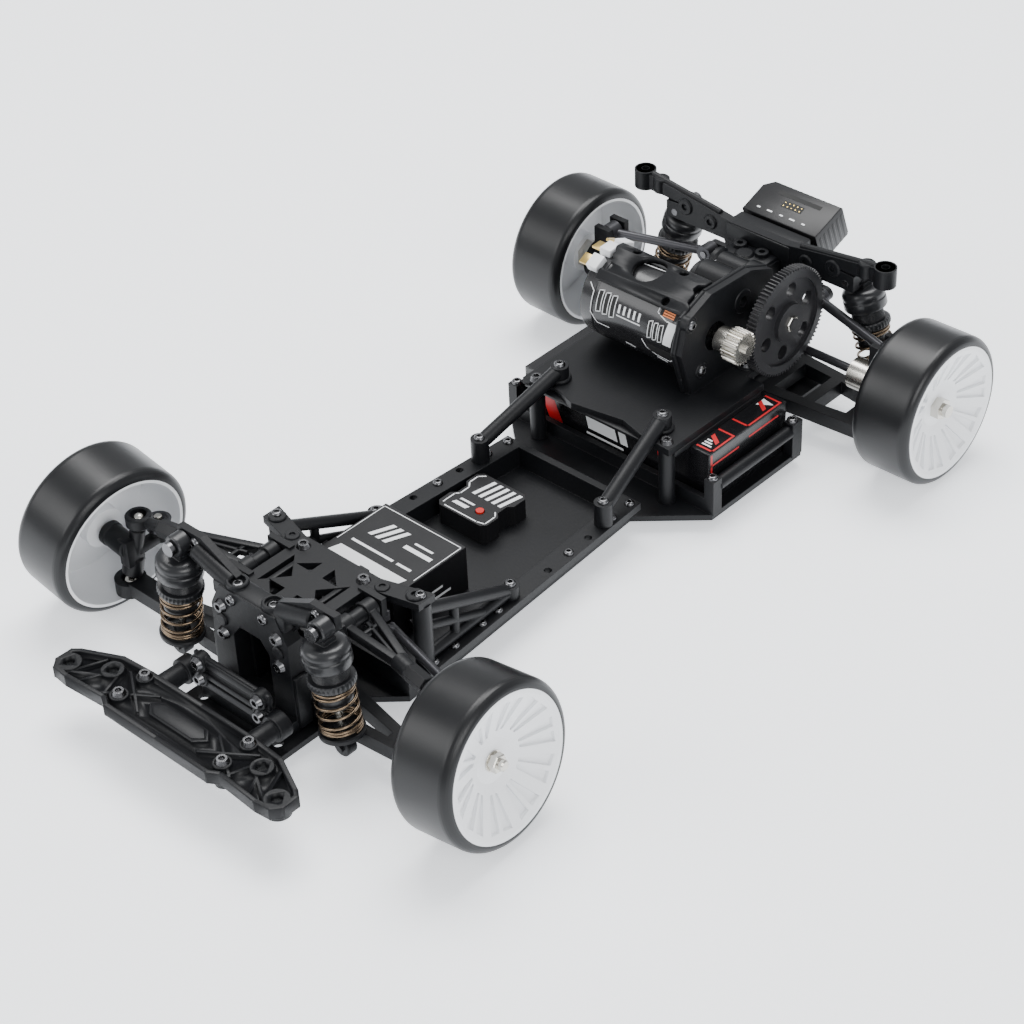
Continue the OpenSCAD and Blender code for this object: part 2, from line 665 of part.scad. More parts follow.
module shock_rod(len) color(steel) difference() {
  union() {
    translate([0, 0, -len + 3]) cylinder(h = len - 26, r = pin_r);
    translate([0, 0, -len + 5.2]) cylinder(h = 2.2, r = 8.4);
    ycyl(3.7, -2.2, 2.2, 0, -len);
  }
  ycyl(2.2, -3, 3, 0, -len);
}

coils = 6;
wire_r = 0.75;
coil_r = 7.2;

// a coil drawn as rings leaning one way and the other, each touching the next
module shock_spring(len) color(bronze) {
  bottom = -len + 7.6 + wire_r + 0.3;
  top = spring_top - 0.3 - wire_r;
  lean = asin((top - bottom - 2) / coils / 2 / coil_r);
  for (i = [0:coils - 1])
    translate([0, 0, bottom + (i + 0.5) * (top - bottom) / coils])
      rotate([0, i % 2 == 0 ? lean : -lean, 0])
        rotate_extrude() translate([coil_r, 0]) circle(r = wire_r, $fn = small_fn);
}

front_len = norm(front_shock_low - front_shock_top);
rear_len = norm(rear_shock_low - rear_shock_top);

// ---------- rear corner, left side ----------
module rear_axle() color(steel) at_rear_wheel() rotate([0, 90, 0]) {
  difference() {
    translate([0, 0, -32.5]) cylinder(h = 10, r = 6.4);
    translate([0, 0, -33]) cylinder(h = 9.3, r = 4.6);
  }
  translate([0, 0, -22.6]) cylinder(h = 14.6, r = 4);
  translate([0, 0, -8.4]) cylinder(h = 4.4, r = 6.4, $fn = 6);
  translate([0, 0, -4.1]) cylinder(h = 16, r = 2.5);
  translate([0, 0, hub_face]) cylinder(h = 3.5, r = 4.4, $fn = 6);
}

module hub_carrier() color(plastic) difference() {
  union() {
    box(66, 74, yr - 8, yr + 8, 8, 16);
    box(66, 74, yr - 5.5, yr + 5.5, 15, 40);
    at_rear_wheel() rotate([0, 90, 0]) translate([0, 0, -21.8]) cylinder(h = 12.2, r = 8.5);
    box(66, 74, yr - 6.2, yr - 3.5, 38, 50);
    box(66, 74, yr + 3.5, yr + 6.2, 38, 50);
  }
  at_rear_wheel() rotate([0, 90, 0]) translate([0, 0, -24]) cylinder(h = 18, r = 4 + fit);
  ycyl(pin_r + fit, yr - 9, yr + 9, rear_pin[0], rear_pin[1]);
}

module carrier_pin() ycyl(pin_r, yr - 6.2, yr + 6.2, rear_upper_out[0], rear_upper_out[1]);

module rear_lower_arm() color(plastic) difference() {
  union() {
    translate([0, yr, 9]) linear_extrude(6)
      polygon([[16, -16], [40, -14], [66, -12], [66, -8.4], [64, -8.4], [64, 8.4], [66, 8.4],
        [66, 12], [40, 14], [16, 16]]);
    for (y = [yr - 12, yr + 8.4]) ycyl(4, y, y + 3.6, rear_pin[0], rear_pin[1]);
    ycyl(pin_r, yr - 12, yr + 12, rear_pin[0], rear_pin[1]);
    for (y = [yr - 12, yr + 8.4]) box(62, 70, y, y + 3.6, 9, 15);
    ycyl(4, yr - 16, yr + 16, arm_in[0], arm_in[1]);
    ycyl(pin_r, yr + 10, yr + 20.9, rear_shock_low[0], rear_shock_low[2]);
    ycyl(3, yr + 10, yr + 14.8, rear_shock_low[0], rear_shock_low[2]);
  }
  ycyl(pin_r + fit, yr - 17, yr + 17, arm_in[0], arm_in[1]);
  translate([0, yr, 8]) linear_extrude(8) polygon([[24, -10], [38, -9], [38, 9], [24, 10]]);
  translate([0, yr, 8]) linear_extrude(8) polygon([[43, -9], [57, -7], [57, 7], [43, 9]]);
}

module rear_upper_link() color(dark_steel) difference() {
  union() {
    rod([rear_upper_in[0] + 2.5, rear_link_y - 0.7, rear_upper_in[1]],
      [rear_upper_out[0] - 3, yr + 0.7, rear_upper_out[1]], 2, 1.8);
    ycyl(3.6, rear_link_y - 3, rear_link_y + 3, rear_upper_in[0], rear_upper_in[1]);
    ycyl(3.8, yr - 2.8, yr + 2.8, rear_upper_out[0], rear_upper_out[1]);
  }
  ycyl(pin_r + fit, rear_link_y - 4, rear_link_y + 4, rear_upper_in[0], rear_upper_in[1]);
  ycyl(2.2, yr - 4, yr + 4, rear_upper_out[0], rear_upper_out[1]);
}

module drive_shaft() color(dark_steel) {
  xcyl(1.75, 14.3, 59.5, yr, rear_z);
  for (x = [14.3, 59.5]) translate([x, yr, rear_z]) sphere(r = 2.8);
}

// ---------- assembly ----------
chassis_tub();
front_bulkhead();
front_top_plate();
front_bumper();
frame_braces();
motor_mount_deck();
battery();
servo();
gyro();
motor();
gearbox_case();
rear_tower();
speed_control();
screws_and_pins();
steering_rack();
servo_horn();
pinion_gear();
spur_gear();
final_gear();
gyro_button();
for (s = [-1, 1]) on_side(s) {
  front = s > 0 ? "front_left_" : "front_right_";
  rear = s > 0 ? "rear_left_" : "rear_right_";
  at_front_wheel() tyre();
  front_wheel();
  knuckle();
  ball_stud();
  front_lower_arm();
  front_upper_arm();
  tie_rod();
  at_shock(front_shock_top, front_shock_low) shock_body();
  at_shock(front_shock_top, front_shock_low) shock_spring(front_len);
  at_shock(front_shock_top, front_shock_low) shock_rod(front_len);
  at_rear_wheel() tyre();
  rear_wheel();
  rear_axle();
  union() {
    hub_carrier();
    color(plastic) carrier_pin();
  }
  rear_lower_arm();
  rear_upper_link();
  drive_shaft();
  at_shock(rear_shock_top, rear_shock_low) shock_body();
  at_shock(rear_shock_top, rear_shock_low) shock_spring(rear_len);
  at_shock(rear_shock_top, rear_shock_low) shock_rod(rear_len);
}
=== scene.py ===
import bmesh
import bpy
import math
from mathutils import Matrix, Vector


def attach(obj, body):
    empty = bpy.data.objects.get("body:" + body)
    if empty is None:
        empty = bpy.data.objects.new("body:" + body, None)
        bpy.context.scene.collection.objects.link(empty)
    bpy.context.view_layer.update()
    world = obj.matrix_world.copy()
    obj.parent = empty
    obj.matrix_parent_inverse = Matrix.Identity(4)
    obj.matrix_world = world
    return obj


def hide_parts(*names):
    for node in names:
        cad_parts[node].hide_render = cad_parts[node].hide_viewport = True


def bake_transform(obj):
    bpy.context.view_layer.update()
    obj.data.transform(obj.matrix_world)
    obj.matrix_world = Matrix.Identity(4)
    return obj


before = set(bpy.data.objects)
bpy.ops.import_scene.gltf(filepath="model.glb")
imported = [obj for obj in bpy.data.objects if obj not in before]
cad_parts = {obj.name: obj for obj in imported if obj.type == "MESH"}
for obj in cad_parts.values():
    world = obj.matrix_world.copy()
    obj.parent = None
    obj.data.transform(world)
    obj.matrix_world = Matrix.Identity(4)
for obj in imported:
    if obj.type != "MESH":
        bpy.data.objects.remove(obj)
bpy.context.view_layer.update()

# ---- Table top, lamps and viewing place -------------------------------------------------
# The finished chassis stands on a pale, slightly cool studio table. Two broad overhead lamps
# and a low fill give the long soft highlights that moulded nylon shows.
MM = 0.001
FRONT_AXLE = -120.5
REAR_AXLE = 135.5
FRONT_HUB = 31.33


def at(x, y, z):
    return Vector((x * MM, y * MM, z * MM))


def table_top():
    mesh = bpy.data.meshes.new("table_top")
    s = 6.0
    mesh.from_pydata([(-s, -s, 0), (s, -s, 0), (s, s, 0), (-s, s, 0)], [], [(0, 1, 2, 3)])
    top = bpy.data.objects.new("table_top", mesh)
    bpy.context.collection.objects.link(top)
    paint = bpy.data.materials.new("table_paint")
    paint.use_nodes = True
    shader = paint.node_tree.nodes["Principled BSDF"]
    shader.inputs["Base Color"].default_value = (0.93, 0.945, 0.965, 1)
    shader.inputs["Roughness"].default_value = 0.6
    shader.inputs["Emission Color"].default_value = (0.93, 0.96, 1, 1)
    shader.inputs["Emission Strength"].default_value = 0.75
    mesh.materials.append(paint)


table_top()


def soft_lamp(name, place, aim, size, power):
    data = bpy.data.lights.new(name, "AREA")
    data.shape = "RECTANGLE"
    data.size, data.size_y = size
    data.energy = power
    lamp = bpy.data.objects.new(name, data)
    bpy.context.collection.objects.link(lamp)
    lamp.location = place
    lamp.rotation_mode = "QUATERNION"
    lamp.rotation_quaternion = (Vector(aim) - Vector(place)).to_track_quat("-Z", "Y")


soft_lamp("overhead_lamp", (-0.35, 0.45, 1.5), (0, 0, 0), (1.3, 0.9), 34)
soft_lamp("left_lamp", (1.3, -0.5, 0.9), (0, 0, 0.02), (0.9, 0.7), 12)
soft_lamp("nose_lamp", (-0.7, -1.2, 0.9), (0, 0, 0.02), (1.1, 0.7), 10)

sky = bpy.data.worlds.new("studio_air")
sky.use_nodes = True
sky.node_tree.nodes["Background"].inputs["Color"].default_value = (0.95, 0.97, 1.0, 1)
sky.node_tree.nodes["Background"].inputs["Strength"].default_value = 0.72
bpy.context.scene.world = sky


def viewing_place():
    turn, climb, tilt = math.radians(44.403), math.radians(37.35), math.radians(-2.811)
    back = Vector((math.sin(turn) * math.cos(climb), -math.cos(turn) * math.cos(climb), math.sin(climb)))
    right = (-back).cross(Vector((0, 0, 1))).normalized()
    up = right.cross(-back)
    across = right * math.cos(tilt) + up * math.sin(tilt)
    upward = up * math.cos(tilt) - right * math.sin(tilt)
    lens = bpy.data.cameras.new("studio_camera")
    lens.sensor_width = 36
    lens.lens = 90.83
    lens.clip_start = 0.05
    camera = bpy.data.objects.new("studio_camera", lens)
    bpy.context.collection.objects.link(camera)
    spot = at(-4.53, 1.632, 10.436) + back * 978.872 * MM
    camera.matrix_world = Matrix((
        (across.x, upward.x, back.x, spot.x),
        (across.y, upward.y, back.y, spot.y),
        (across.z, upward.z, back.z, spot.z),
        (0, 0, 0, 1)))
    bpy.context.scene.camera = camera


viewing_place()


# ---- Chassis tub ------------------------------------------------------------------------
# The tub is one injection moulding in black glass-filled nylon. Its skin is a fine
# sparked pebble, a little shinier on handled edges.
def finish(name, colour, rough, metal=0.0, grain=900, relief=0.12, mottle=0.18, edge=0.35,
           edge_colour=None, round_off=0.35, coat=0.0, sheen=0.5):
    """A moulded, turned or painted finish: mottled colour, uneven gloss, pebble relief, worn edges."""
    m = bpy.data.materials.new(name)
    m.use_nodes = True
    nodes, links = m.node_tree.nodes, m.node_tree.links
    shader = nodes["Principled BSDF"]
    shader.inputs["Metallic"].default_value = metal
    shader.inputs["Specular IOR Level"].default_value = sheen
    if coat:
        shader.inputs["Coat Weight"].default_value = coat
        shader.inputs["Coat Roughness"].default_value = 0.12
    where = nodes.new("ShaderNodeTexCoord")
    cloud = nodes.new("ShaderNodeTexNoise")
    cloud.inputs["Scale"].default_value = 55
    cloud.inputs["Detail"].default_value = 5
    links.new(where.outputs["Object"], cloud.inputs["Vector"])
    pebble = nodes.new("ShaderNodeTexNoise")
    pebble.inputs["Scale"].default_value = grain
    pebble.inputs["Detail"].default_value = 3
    links.new(where.outputs["Object"], pebble.inputs["Vector"])
    body = nodes.new("ShaderNodeMix")
    body.data_type = "RGBA"
    body.inputs["A"].default_value = tuple(c * (1 - mottle) for c in colour) + (1,)
    body.inputs["B"].default_value = tuple(min(1, c * (1 + mottle)) for c in colour) + (1,)
    links.new(cloud.outputs["Fac"], body.inputs["Factor"])
    rounded = nodes.new("ShaderNodeBevel")
    rounded.samples = 4
    rounded.inputs["Radius"].default_value = round_off * MM
    flat = nodes.new("ShaderNodeNewGeometry")
    lean = nodes.new("ShaderNodeVectorMath")
    lean.operation = "DOT_PRODUCT"
    links.new(rounded.outputs["Normal"], lean.inputs[0])
    links.new(flat.outputs["Normal"], lean.inputs[1])
    wear = nodes.new("ShaderNodeMapRange")
    wear.inputs["From Min"].default_value = 0.995
    wear.inputs["From Max"].default_value = 0.8
    wear.inputs["To Max"].default_value = edge
    links.new(lean.outputs["Value"], wear.inputs["Value"])
    rubbed = nodes.new("ShaderNodeMath")
    rubbed.operation = "MULTIPLY"
    links.new(wear.outputs["Result"], rubbed.inputs[0])
    links.new(cloud.outputs["Fac"], rubbed.inputs[1])
    worn = nodes.new("ShaderNodeMix")
    worn.data_type = "RGBA"
    worn.inputs["B"].default_value = (edge_colour or tuple(min(1, c * 3 + 0.03) for c in colour)) + (1,)
    links.new(rubbed.outputs["Value"], worn.inputs["Factor"])
    links.new(body.outputs["Result"], worn.inputs["A"])
    links.new(worn.outputs["Result"], shader.inputs["Base Color"])
    gloss = nodes.new("ShaderNodeMapRange")
    gloss.inputs["To Min"].default_value = rough - 0.07
    gloss.inputs["To Max"].default_value = rough + 0.07
    links.new(cloud.outputs["Fac"], gloss.inputs["Value"])
    links.new(gloss.outputs["Result"], shader.inputs["Roughness"])
    bump = nodes.new("ShaderNodeBump")
    bump.inputs["Strength"].default_value = relief
    bump.inputs["Distance"].default_value = 0.0002
    links.new(pebble.outputs["Fac"], bump.inputs["Height"])
    links.new(rounded.outputs["Normal"], bump.inputs["Normal"])
    links.new(bump.outputs["Normal"], shader.inputs["Normal"])
    return m


nylon = finish("black_nylon", (0.0052, 0.0056, 0.0068), 0.43, relief=0.22, edge_colour=(0.03, 0.032, 0.037),
               sheen=0.26)


def coat_nodes(paint, *names):
    for n in names:
        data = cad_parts[n].data
        data.materials.clear()
        data.materials.append(paint)


coat_nodes(nylon, "chassis_tub")


# ---- Front bulkhead, top plate and side frames --------------------------------------------
# Separate nylon mouldings stacked on the nose of the tub: the bulkhead with its shock
# tower, the truss-shaped top plate, and the struts and braces screwed along the rim.
coat_nodes(nylon, "front_bulkhead", "front_top_plate", "frame_braces")


# ---- Bumper --------------------------------------------------------------------------------
# A ribbed nylon moulding: a thin floor with a raised rim, crossed ribs, a blank six-sided
# badge pad and thick rings round its four post holes. It stands on two round tubes.
def piece(name, made, paint, body, part=None):
    """Hangs a working form or finished mesh on its body and hides the drawn part it stands for."""
    mesh = made if isinstance(made, bpy.types.Mesh) else cast(name, made)
    thing = bpy.data.objects.new(name, mesh)
    bpy.context.collection.objects.link(thing)
    mesh.materials.clear()
    mesh.materials.append(paint)
    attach(thing, body)
    if part:
        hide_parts(part)
    return thing


def slab(form, outline, z0, z1, bevel=0.4):
    """Adds an upright prism with the given outline, its edges broken by a small radius."""
    base = [form.verts.new(at(x, y, z0)) for x, y in outline]
    face = form.faces.new(base)
    if face.normal.z > 0:
        face.normal_flip()
    top = bmesh.ops.extrude_face_region(form, geom=[face])
    rise = [v for v in top["geom"] if isinstance(v, bmesh.types.BMVert)]
    bmesh.ops.translate(form, verts=rise, vec=Vector((0, 0, (z1 - z0) * MM)))
    lid = [g for g in top["geom"] if isinstance(g, bmesh.types.BMFace)][0]
    form.normal_update()
    if bevel:
        bmesh.ops.bevel(form, geom=list(set(lid.edges) | set(face.edges)), offset=bevel * MM, segments=2,
                        affect="EDGES", profile=0.5)
    return form


def tube(form, p, q, r, r2=None, sides=24, inner=0.0, lip=0.25):
    """Adds a round bar or sleeve from p to q, its rims chamfered."""
    p, q = at(*p), at(*q)
    run = (q - p).normalized()
    side = run.orthogonal().normalized()
    other = run.cross(side)
    r2 = r if r2 is None else r2
    lip = min(lip, r * 0.4)
    length = (q - p).length / MM
    stations = [(0, r - lip), (lip, r), (length - lip, r2), (length, r2 - lip)]
    if inner:
        stations = [(0, inner)] + stations + [(length, inner)]
    rings = []
    for along, radius in stations:
        ring = []
        for k in range(sides):
            a = 2 * math.pi * k / sides
            ring.append(form.verts.new(p + run * along * MM
                                       + (side * math.cos(a) + other * math.sin(a)) * radius * MM))
        rings.append(ring)
    for a, b in zip(rings, rings[1:]):
        for k in range(sides):
            form.faces.new((a[k], a[(k + 1) % sides], b[(k + 1) % sides], b[k]))
    if inner:
        for k in range(sides):
            form.faces.new((rings[-1][k], rings[-1][(k + 1) % sides], rings[0][(k + 1) % sides], rings[0][k]))
    else:
        form.faces.new(list(reversed(rings[0])))
        form.faces.new(rings[-1])
    return form


def block(form, low, high, bevel=0.4, turn=None, about=None):
    """Adds a rounded-edge block between two corners, turned about a point if wanted."""
    made = bmesh.ops.create_cube(form, size=1.0)["verts"]
    size = Vector(((high[0] - low[0]) * MM, (high[1] - low[1]) * MM, (high[2] - low[2]) * MM))
    middle = at((low[0] + high[0]) / 2, (low[1] + high[1]) / 2, (low[2] + high[2]) / 2)
    for v in made:
        v.co = Vector((v.co.x * size.x, v.co.y * size.y, v.co.z * size.z)) + middle
    if bevel:
        edges = {e for v in made for e in v.link_edges}
        out = bmesh.ops.bevel(form, geom=list(edges), offset=bevel * MM, segments=2,
                              affect="EDGES", profile=0.5)
        made = list({v for f in out["faces"] for v in f.verts} | {v for v in made if v.is_valid})
    if turn is not None:
        bmesh.ops.rotate(form, verts=made, cent=about or middle, matrix=turn)
    return form


def cast(name, form, smooth=35):
    """Turns the working form into a mesh with smooth rounds and crisp edges."""
    bmesh.ops.recalc_face_normals(form, faces=form.faces)
    for f in form.faces:
        f.smooth = True
    for e in form.edges:
        if e.is_manifold and e.calc_face_angle(0) > math.radians(smooth):
            e.smooth = False
    mesh = bpy.data.meshes.new(name)
    form.to_mesh(mesh)
    form.free()
    return mesh


def drilled(mesh, holes):
    """Bores round holes through a moulding. A hole is two end points and a radius."""
    form = bmesh.new()
    for p, q, r in holes:
        tube(form, p, q, r, sides=20, lip=0)
    drill = bpy.data.objects.new("drill", cast("drill", form))
    work = bpy.data.objects.new("work", mesh)
    for o in (drill, work):
        bpy.context.collection.objects.link(o)
    cut = work.modifiers.new("bore", "BOOLEAN")
    cut.operation = "DIFFERENCE"
    cut.solver = "EXACT"
    cut.use_self = True
    cut.object = drill
    made = bpy.data.meshes.new_from_object(work.evaluated_get(bpy.context.evaluated_depsgraph_get()))
    bpy.data.objects.remove(drill)
    bpy.data.objects.remove(work)
    return made


def both(points):
    """A right-hand half outline closed with its mirror image."""
    return list(points) + [(-x, y) for x, y in reversed(points) if x != 0]


def make_bumper():
    f = FRONT_AXLE
    outline = both([(0, f - 59.3), (26, f - 59.3), (30, f - 57), (48, f - 58.3), (55, f - 57.6),
                    (58, f - 54), (57.8, f - 47), (55, f - 44.6), (40, f - 37.5), (26, f - 36.5),
                    (0, f - 36.5)])
    form = slab(bmesh.new(), outline, 19.2, 21.4)
    rim = [Vector((x, y)) for x, y in outline]
    middle = Vector((0, f - 48))
    for a, b in zip(rim, rim[1:] + rim[:1]):
        along = (b - a).normalized()
        inward = Vector((-along.y, along.x))
        if inward.dot(middle - (a + b) / 2) < 0:
            inward = -inward
        a, b = a - along * 0.3, b + along * 0.3
        strip = [a, b, b + inward * 1.9, a + inward * 1.9]
        slab(form, [(v.x, v.y) for v in strip], 19.0, 24.0, 0.35)
    for s in (-1, 1):
        for a, b in (((15, -43), (33, -55)), ((15, -53.5), (33, -41)), ((31, -56), (36, -41)),
                     ((36, -47), (50, -55)), ((36, -42), (44, -57)), ((44, -42), (50, -56))):
            a, b = Vector((s * a[0], f + a[1])), Vector((s * b[0], f + b[1]))
            n = Vector((-(b - a).y, (b - a).x)).normalized() * 0.55
            slab(form, [tuple(a + n), tuple(b + n), tuple(b - n), tuple(a - n)], 21, 23.2, 0.2)
        for x, y, r, low in ((52.9, -52.1, 4.7, 17.6), (38, -44.9, 4.3, 17.6),
                             (26.4, -40.1, 3.3, 15.5), (26.3, -52, 3.5, 14.5)):
            tube(form, (s * x, f + y, low), (s * x, f + y, 24), r, sides=28)
    hexagon = [(-15, f - 48), (-11, f - 44.2), (11, f - 44.2), (15, f - 48), (11, f - 51.8),
               (-11, f - 51.8)]
    slab(form, hexagon, 21, 23.6, 0.3)
    slab(form, [(x * 0.88, f - 48 + (y - f + 48) * 0.78) for x, y in hexagon], 23.4, 23.9, 0.2)
    holes = []
    for s in (-1, 1):
        for x, y, r in ((52.9, -52.1, 2.2), (38, -44.9, 2.4), (26.4, -40.1, 1.5), (26.3, -52, 1.5)):
            holes.append(((s * x, f + y, 10), (s * x, f + y, 26), r))
    piece("bumper", drilled(cast("bumper", form), holes), nylon, "chassis", "front_bumper")
    form = bmesh.new()
    for s in (-1, 1):
        tube(form, (s * 23, f - 36.8, 18.8), (s * 23, f - 21.6, 18.8), 4.0, 3.6)
        tube(form, (s * 23, f - 27, 18.8), (s * 23, f - 21.6, 18.8), 5.0)
        tube(form, (s * 15.2, f - 25.5, 26.2), (s * 15.2, f - 21.5, 26.2), 3.6)
        tube(form, (s * 15.2, f - 25.5, 19.6), (s * 15.2, f - 21.5, 19.6), 3.6)
    block(form, (-24, f - 24.8, 16), (24, f - 21.6, 19), 0.4)
    block(form, (-24, f - 24.8, 20.2), (24, f - 21.6, 22.4), 0.4)
    block(form, (-18, f - 24.4, 25), (18, f - 21.8, 28.2), 0.4)
    block(form, (-19, f - 23.8, 14.4), (19, f - 22.2, 29), 0.3)
    piece("bumper_cross_bar", form, nylon, "chassis", "front_bumper")


make_bumper()


# ---- Screws and hinge pins -----------------------------------------------------------------
# Button-head hex screws and ground pins in oiled black steel. The extra heads along the rims,
# plates and towers are the ones that hold the frame parts together.
oiled_steel = finish("oiled_steel", (0.14, 0.14, 0.145), 0.26, metal=1.0, grain=2200, relief=0.05,
                     edge=0.7, edge_colour=(0.35, 0.35, 0.36), round_off=0.2)
coat_nodes(oiled_steel, "screws_and_pins")


def button_head(form, spot, way, r=2.6, sink=0.0):
    """Adds one domed screw head with its hexagon socket, seated at spot and facing way."""
    z = Vector(way).normalized()
    x = z.orthogonal().normalized()
    y = z.cross(x)
    base = at(*spot) - z * sink * MM
    rings = []
    outer = 24
    for radius, height in ((r, 0), (r, 0.35), (r * 0.93, 0.9), (r * 0.76, 1.3), (r * 0.56, 1.5)):
        rings.append([form.verts.new(base + ((x * math.cos(a) + y * math.sin(a)) * radius + z * height) * MM)
                      for a in (2 * math.pi * k / outer for k in range(outer))])
    for a, b in zip(rings, rings[1:]):
        for k in range(outer):
            form.faces.new((a[k], a[(k + 1) % outer], b[(k + 1) % outer], b[k]))
    corner = []
    for k in range(outer):
        a = 2 * math.pi * k / outer
        flat = math.cos(math.pi / 6) / math.cos((a + math.pi / 6) % (math.pi / 3) - math.pi / 6)
        corner.append((x * math.cos(a) + y * math.sin(a)) * r * 0.46 * flat * MM)
    lip = [form.verts.new(base + c + z * 1.46 * MM) for c in corner]
    floor = [form.verts.new(base + c + z * 0.35 * MM) for c in corner]
    for k in range(outer):
        n = (k + 1) % outer
        form.faces.new((rings[-1][k], rings[-1][n], lip[n], lip[k]))
        form.faces.new((lip[k], lip[n], floor[n], floor[k]))
    form.faces.new(floor)
    form.faces.new(list(reversed(rings[0])))


def make_frame_screws():
    f, up, front = FRONT_AXLE, (0, 0, 1), (0, -1, 0)
    form = bmesh.new()
    for s in (-1, 1):
        for y in (36, 47, 62, 71, 112, 138, 149):
            rim = 42.2 - 8.1 * (y - 24.5) / 127 - 3.2
            button_head(form, (s * rim, f + y, 15.9), up, 2.0, 0.1)
        for x, y, z in ((34, f + 80, 21.5), (36, f + 34, 46), (31.5, f + 133.8, 26)):
            button_head(form, (s * x, y, z), up, 2.2, 0.1)
        for x, z in ((8, 50.5), (30, 61)):
            button_head(form, (s * x, f - 13 if x < 20 else f - 8, z), front, 2.2, 0.1)
        button_head(form, (s * 26, f + 174.4, 41), up, 2.3, 0.1)
        button_head(form, (s * 50, f + 175, 22), up, 2.2, 0.1)
        button_head(form, (s * 50, f + 223.5, 22), up, 2.2, 0.1)
    for y, z in ((REAR_AXLE - 58, 66.5), (REAR_AXLE - 52, 43), (REAR_AXLE - 24, 41)):
        button_head(form, (20.5, y, z), (1, 0, 0), 2.2, 0.1)
    for x in (-9, 9):
        button_head(form, (x, REAR_AXLE - 8, 60), up, 2.2, 0.1)
    piece("frame_screws", cast("frame_screws", form, 50), oiled_steel, "chassis")


make_frame_screws()


# ---- Battery -------------------------------------------------------------------------------
# A two-cell pack in a gloss black hard case. Its sleeve print is plain: slanting red and
# white bands along the front and left faces.
BATTERY_FRONT = FRONT_AXLE + 177
battery_gloss = finish("battery_gloss", (0.006, 0.006, 0.007), 0.22, grain=600, relief=0.03,
                       round_off=1.1, coat=0.2)
print_red = finish("print_red", (0.50, 0.012, 0.016), 0.35, relief=0.03, mottle=0.05, edge=0.0)
print_white = finish("print_white", (0.78, 0.79, 0.80), 0.42, relief=0.03, mottle=0.03, edge=0.0)
coat_nodes(battery_gloss, "battery")


def flat_print(form, corners):
    """Adds one flat printed patch from its corner points."""
    form.faces.new([form.verts.new(at(*c)) for c in corners])


def level_bar(form, x0, x1, y0, y1, z, lean=0.0):
    """Adds a printed bar on a level face, its far edge shifted across by the lean."""
    flat_print(form, [(x0, y0, z), (x1, y0, z), (x1 + lean, y1, z), (x0 + lean, y1, z)])


def side_bar(form, y0, y1, z0, z1, x, lean=0.0):
    """Adds a printed bar on an upright side face, its top edge shifted along by the lean."""
    flat_print(form, [(x, y0, z0), (x, y1, z0), (x, y1 + lean, z1), (x, y0 + lean, z1)])


def make_battery_print():
    y, lift = BATTERY_FRONT, 0.05
    red, white = bmesh.new(), bmesh.new()

    def front_band(form, x0, x1, lean, z0=8.6, z1=28.6):
        flat_print(form, [(x0, y - lift, z0), (x1, y - lift, z0), (x1 - lean, y - lift, z1),
                          (x0 - lean, y - lift, z1)])

    front_band(red, -33.5, -26.5, 9)
    front_band(red, -46, -43, 0, 9, 10.6)
    front_band(red, -46, 22, 0, 8.8, 10.2)
    front_band(red, -40.5, -24, 0, 26.2, 28.6)
    front_band(red, -45.6, -44.6, -6, 10.2, 20)
    front_band(red, 24, 26.4, 5, 8.8, 28.6)
    front_band(white, -14, 1, 1.6, 15, 21)
    front_band(white, 2.6, 6.4, 1.6, 15, 21)
    front_band(white, -15, 4, 0, 12.2, 13.2)
    top = 30.05
    for a, b in ((58.5, 71.5), (80, 100)):
        level_bar(red, 38.6, 46.4, a, a + 0.9, top)
        level_bar(red, 38.6, 46.4, b, b + 0.9, top)
        level_bar(red, 45.6, 46.4, a, b, top)
        flat_print(red, [(39.4, b - 5, top + 0.01), (44.4, b - 8.4, top + 0.01), (44.4, b - 6.2, top + 0.01),
                         (39.4, b - 2.8, top + 0.01)])
    flat_print(white, [(39.4, 93.5, top), (45, 97.5, top), (39.4, 98.6, top)])
    for k in range(3):
        level_bar(white, 39.6, 44 - k, 60.6 + 1.6 * k, 61.4 + 1.6 * k, top)
    side = 47.05
    side_bar(red, 57, 74, 24, 24.8, side)
    side_bar(red, 57, 58, 9, 29.4, side)
    side_bar(red, 80, 98, 25.4, 26.2, side)
    for form, paint, name, slot in ((red, print_red, "battery_print_red", "label_red"),
                                    (white, print_white, "battery_print_white", "label_white")):
        piece(name, form, paint, "chassis")


make_battery_print()


# ---- Servo, gyro and their labels ------------------------------------------------------------
# Closed cases in satin black nylon. The labels are plain printed bars and frames, and the
# gyro lid carries five slanting white stripes beside its red button.
case_paint = finish("case_black", (0.007, 0.007, 0.008), 0.36, grain=1500, relief=0.08,
                    round_off=0.4, sheen=0.35)
coat_nodes(case_paint, "servo", "gyro", "servo_horn")
button_red = finish("button_red", (0.55, 0.02, 0.015), 0.3, edge=0.2)
coat_nodes(button_red, "gyro_button")


def frame_line(form, points, width, z):
    """Adds a printed outline of the given width on a level face."""
    for a, b in zip(points, points[1:]):
        a, b = Vector(a), Vector(b)
        run = (b - a).normalized()
        n = Vector((-run.y, run.x)) * width / 2
        a, b = a - run * width / 2, b + run * width / 2
        flat_print(form, [(*(a + n), z), (*(b + n), z), (*(b - n), z), (*(a - n), z)])


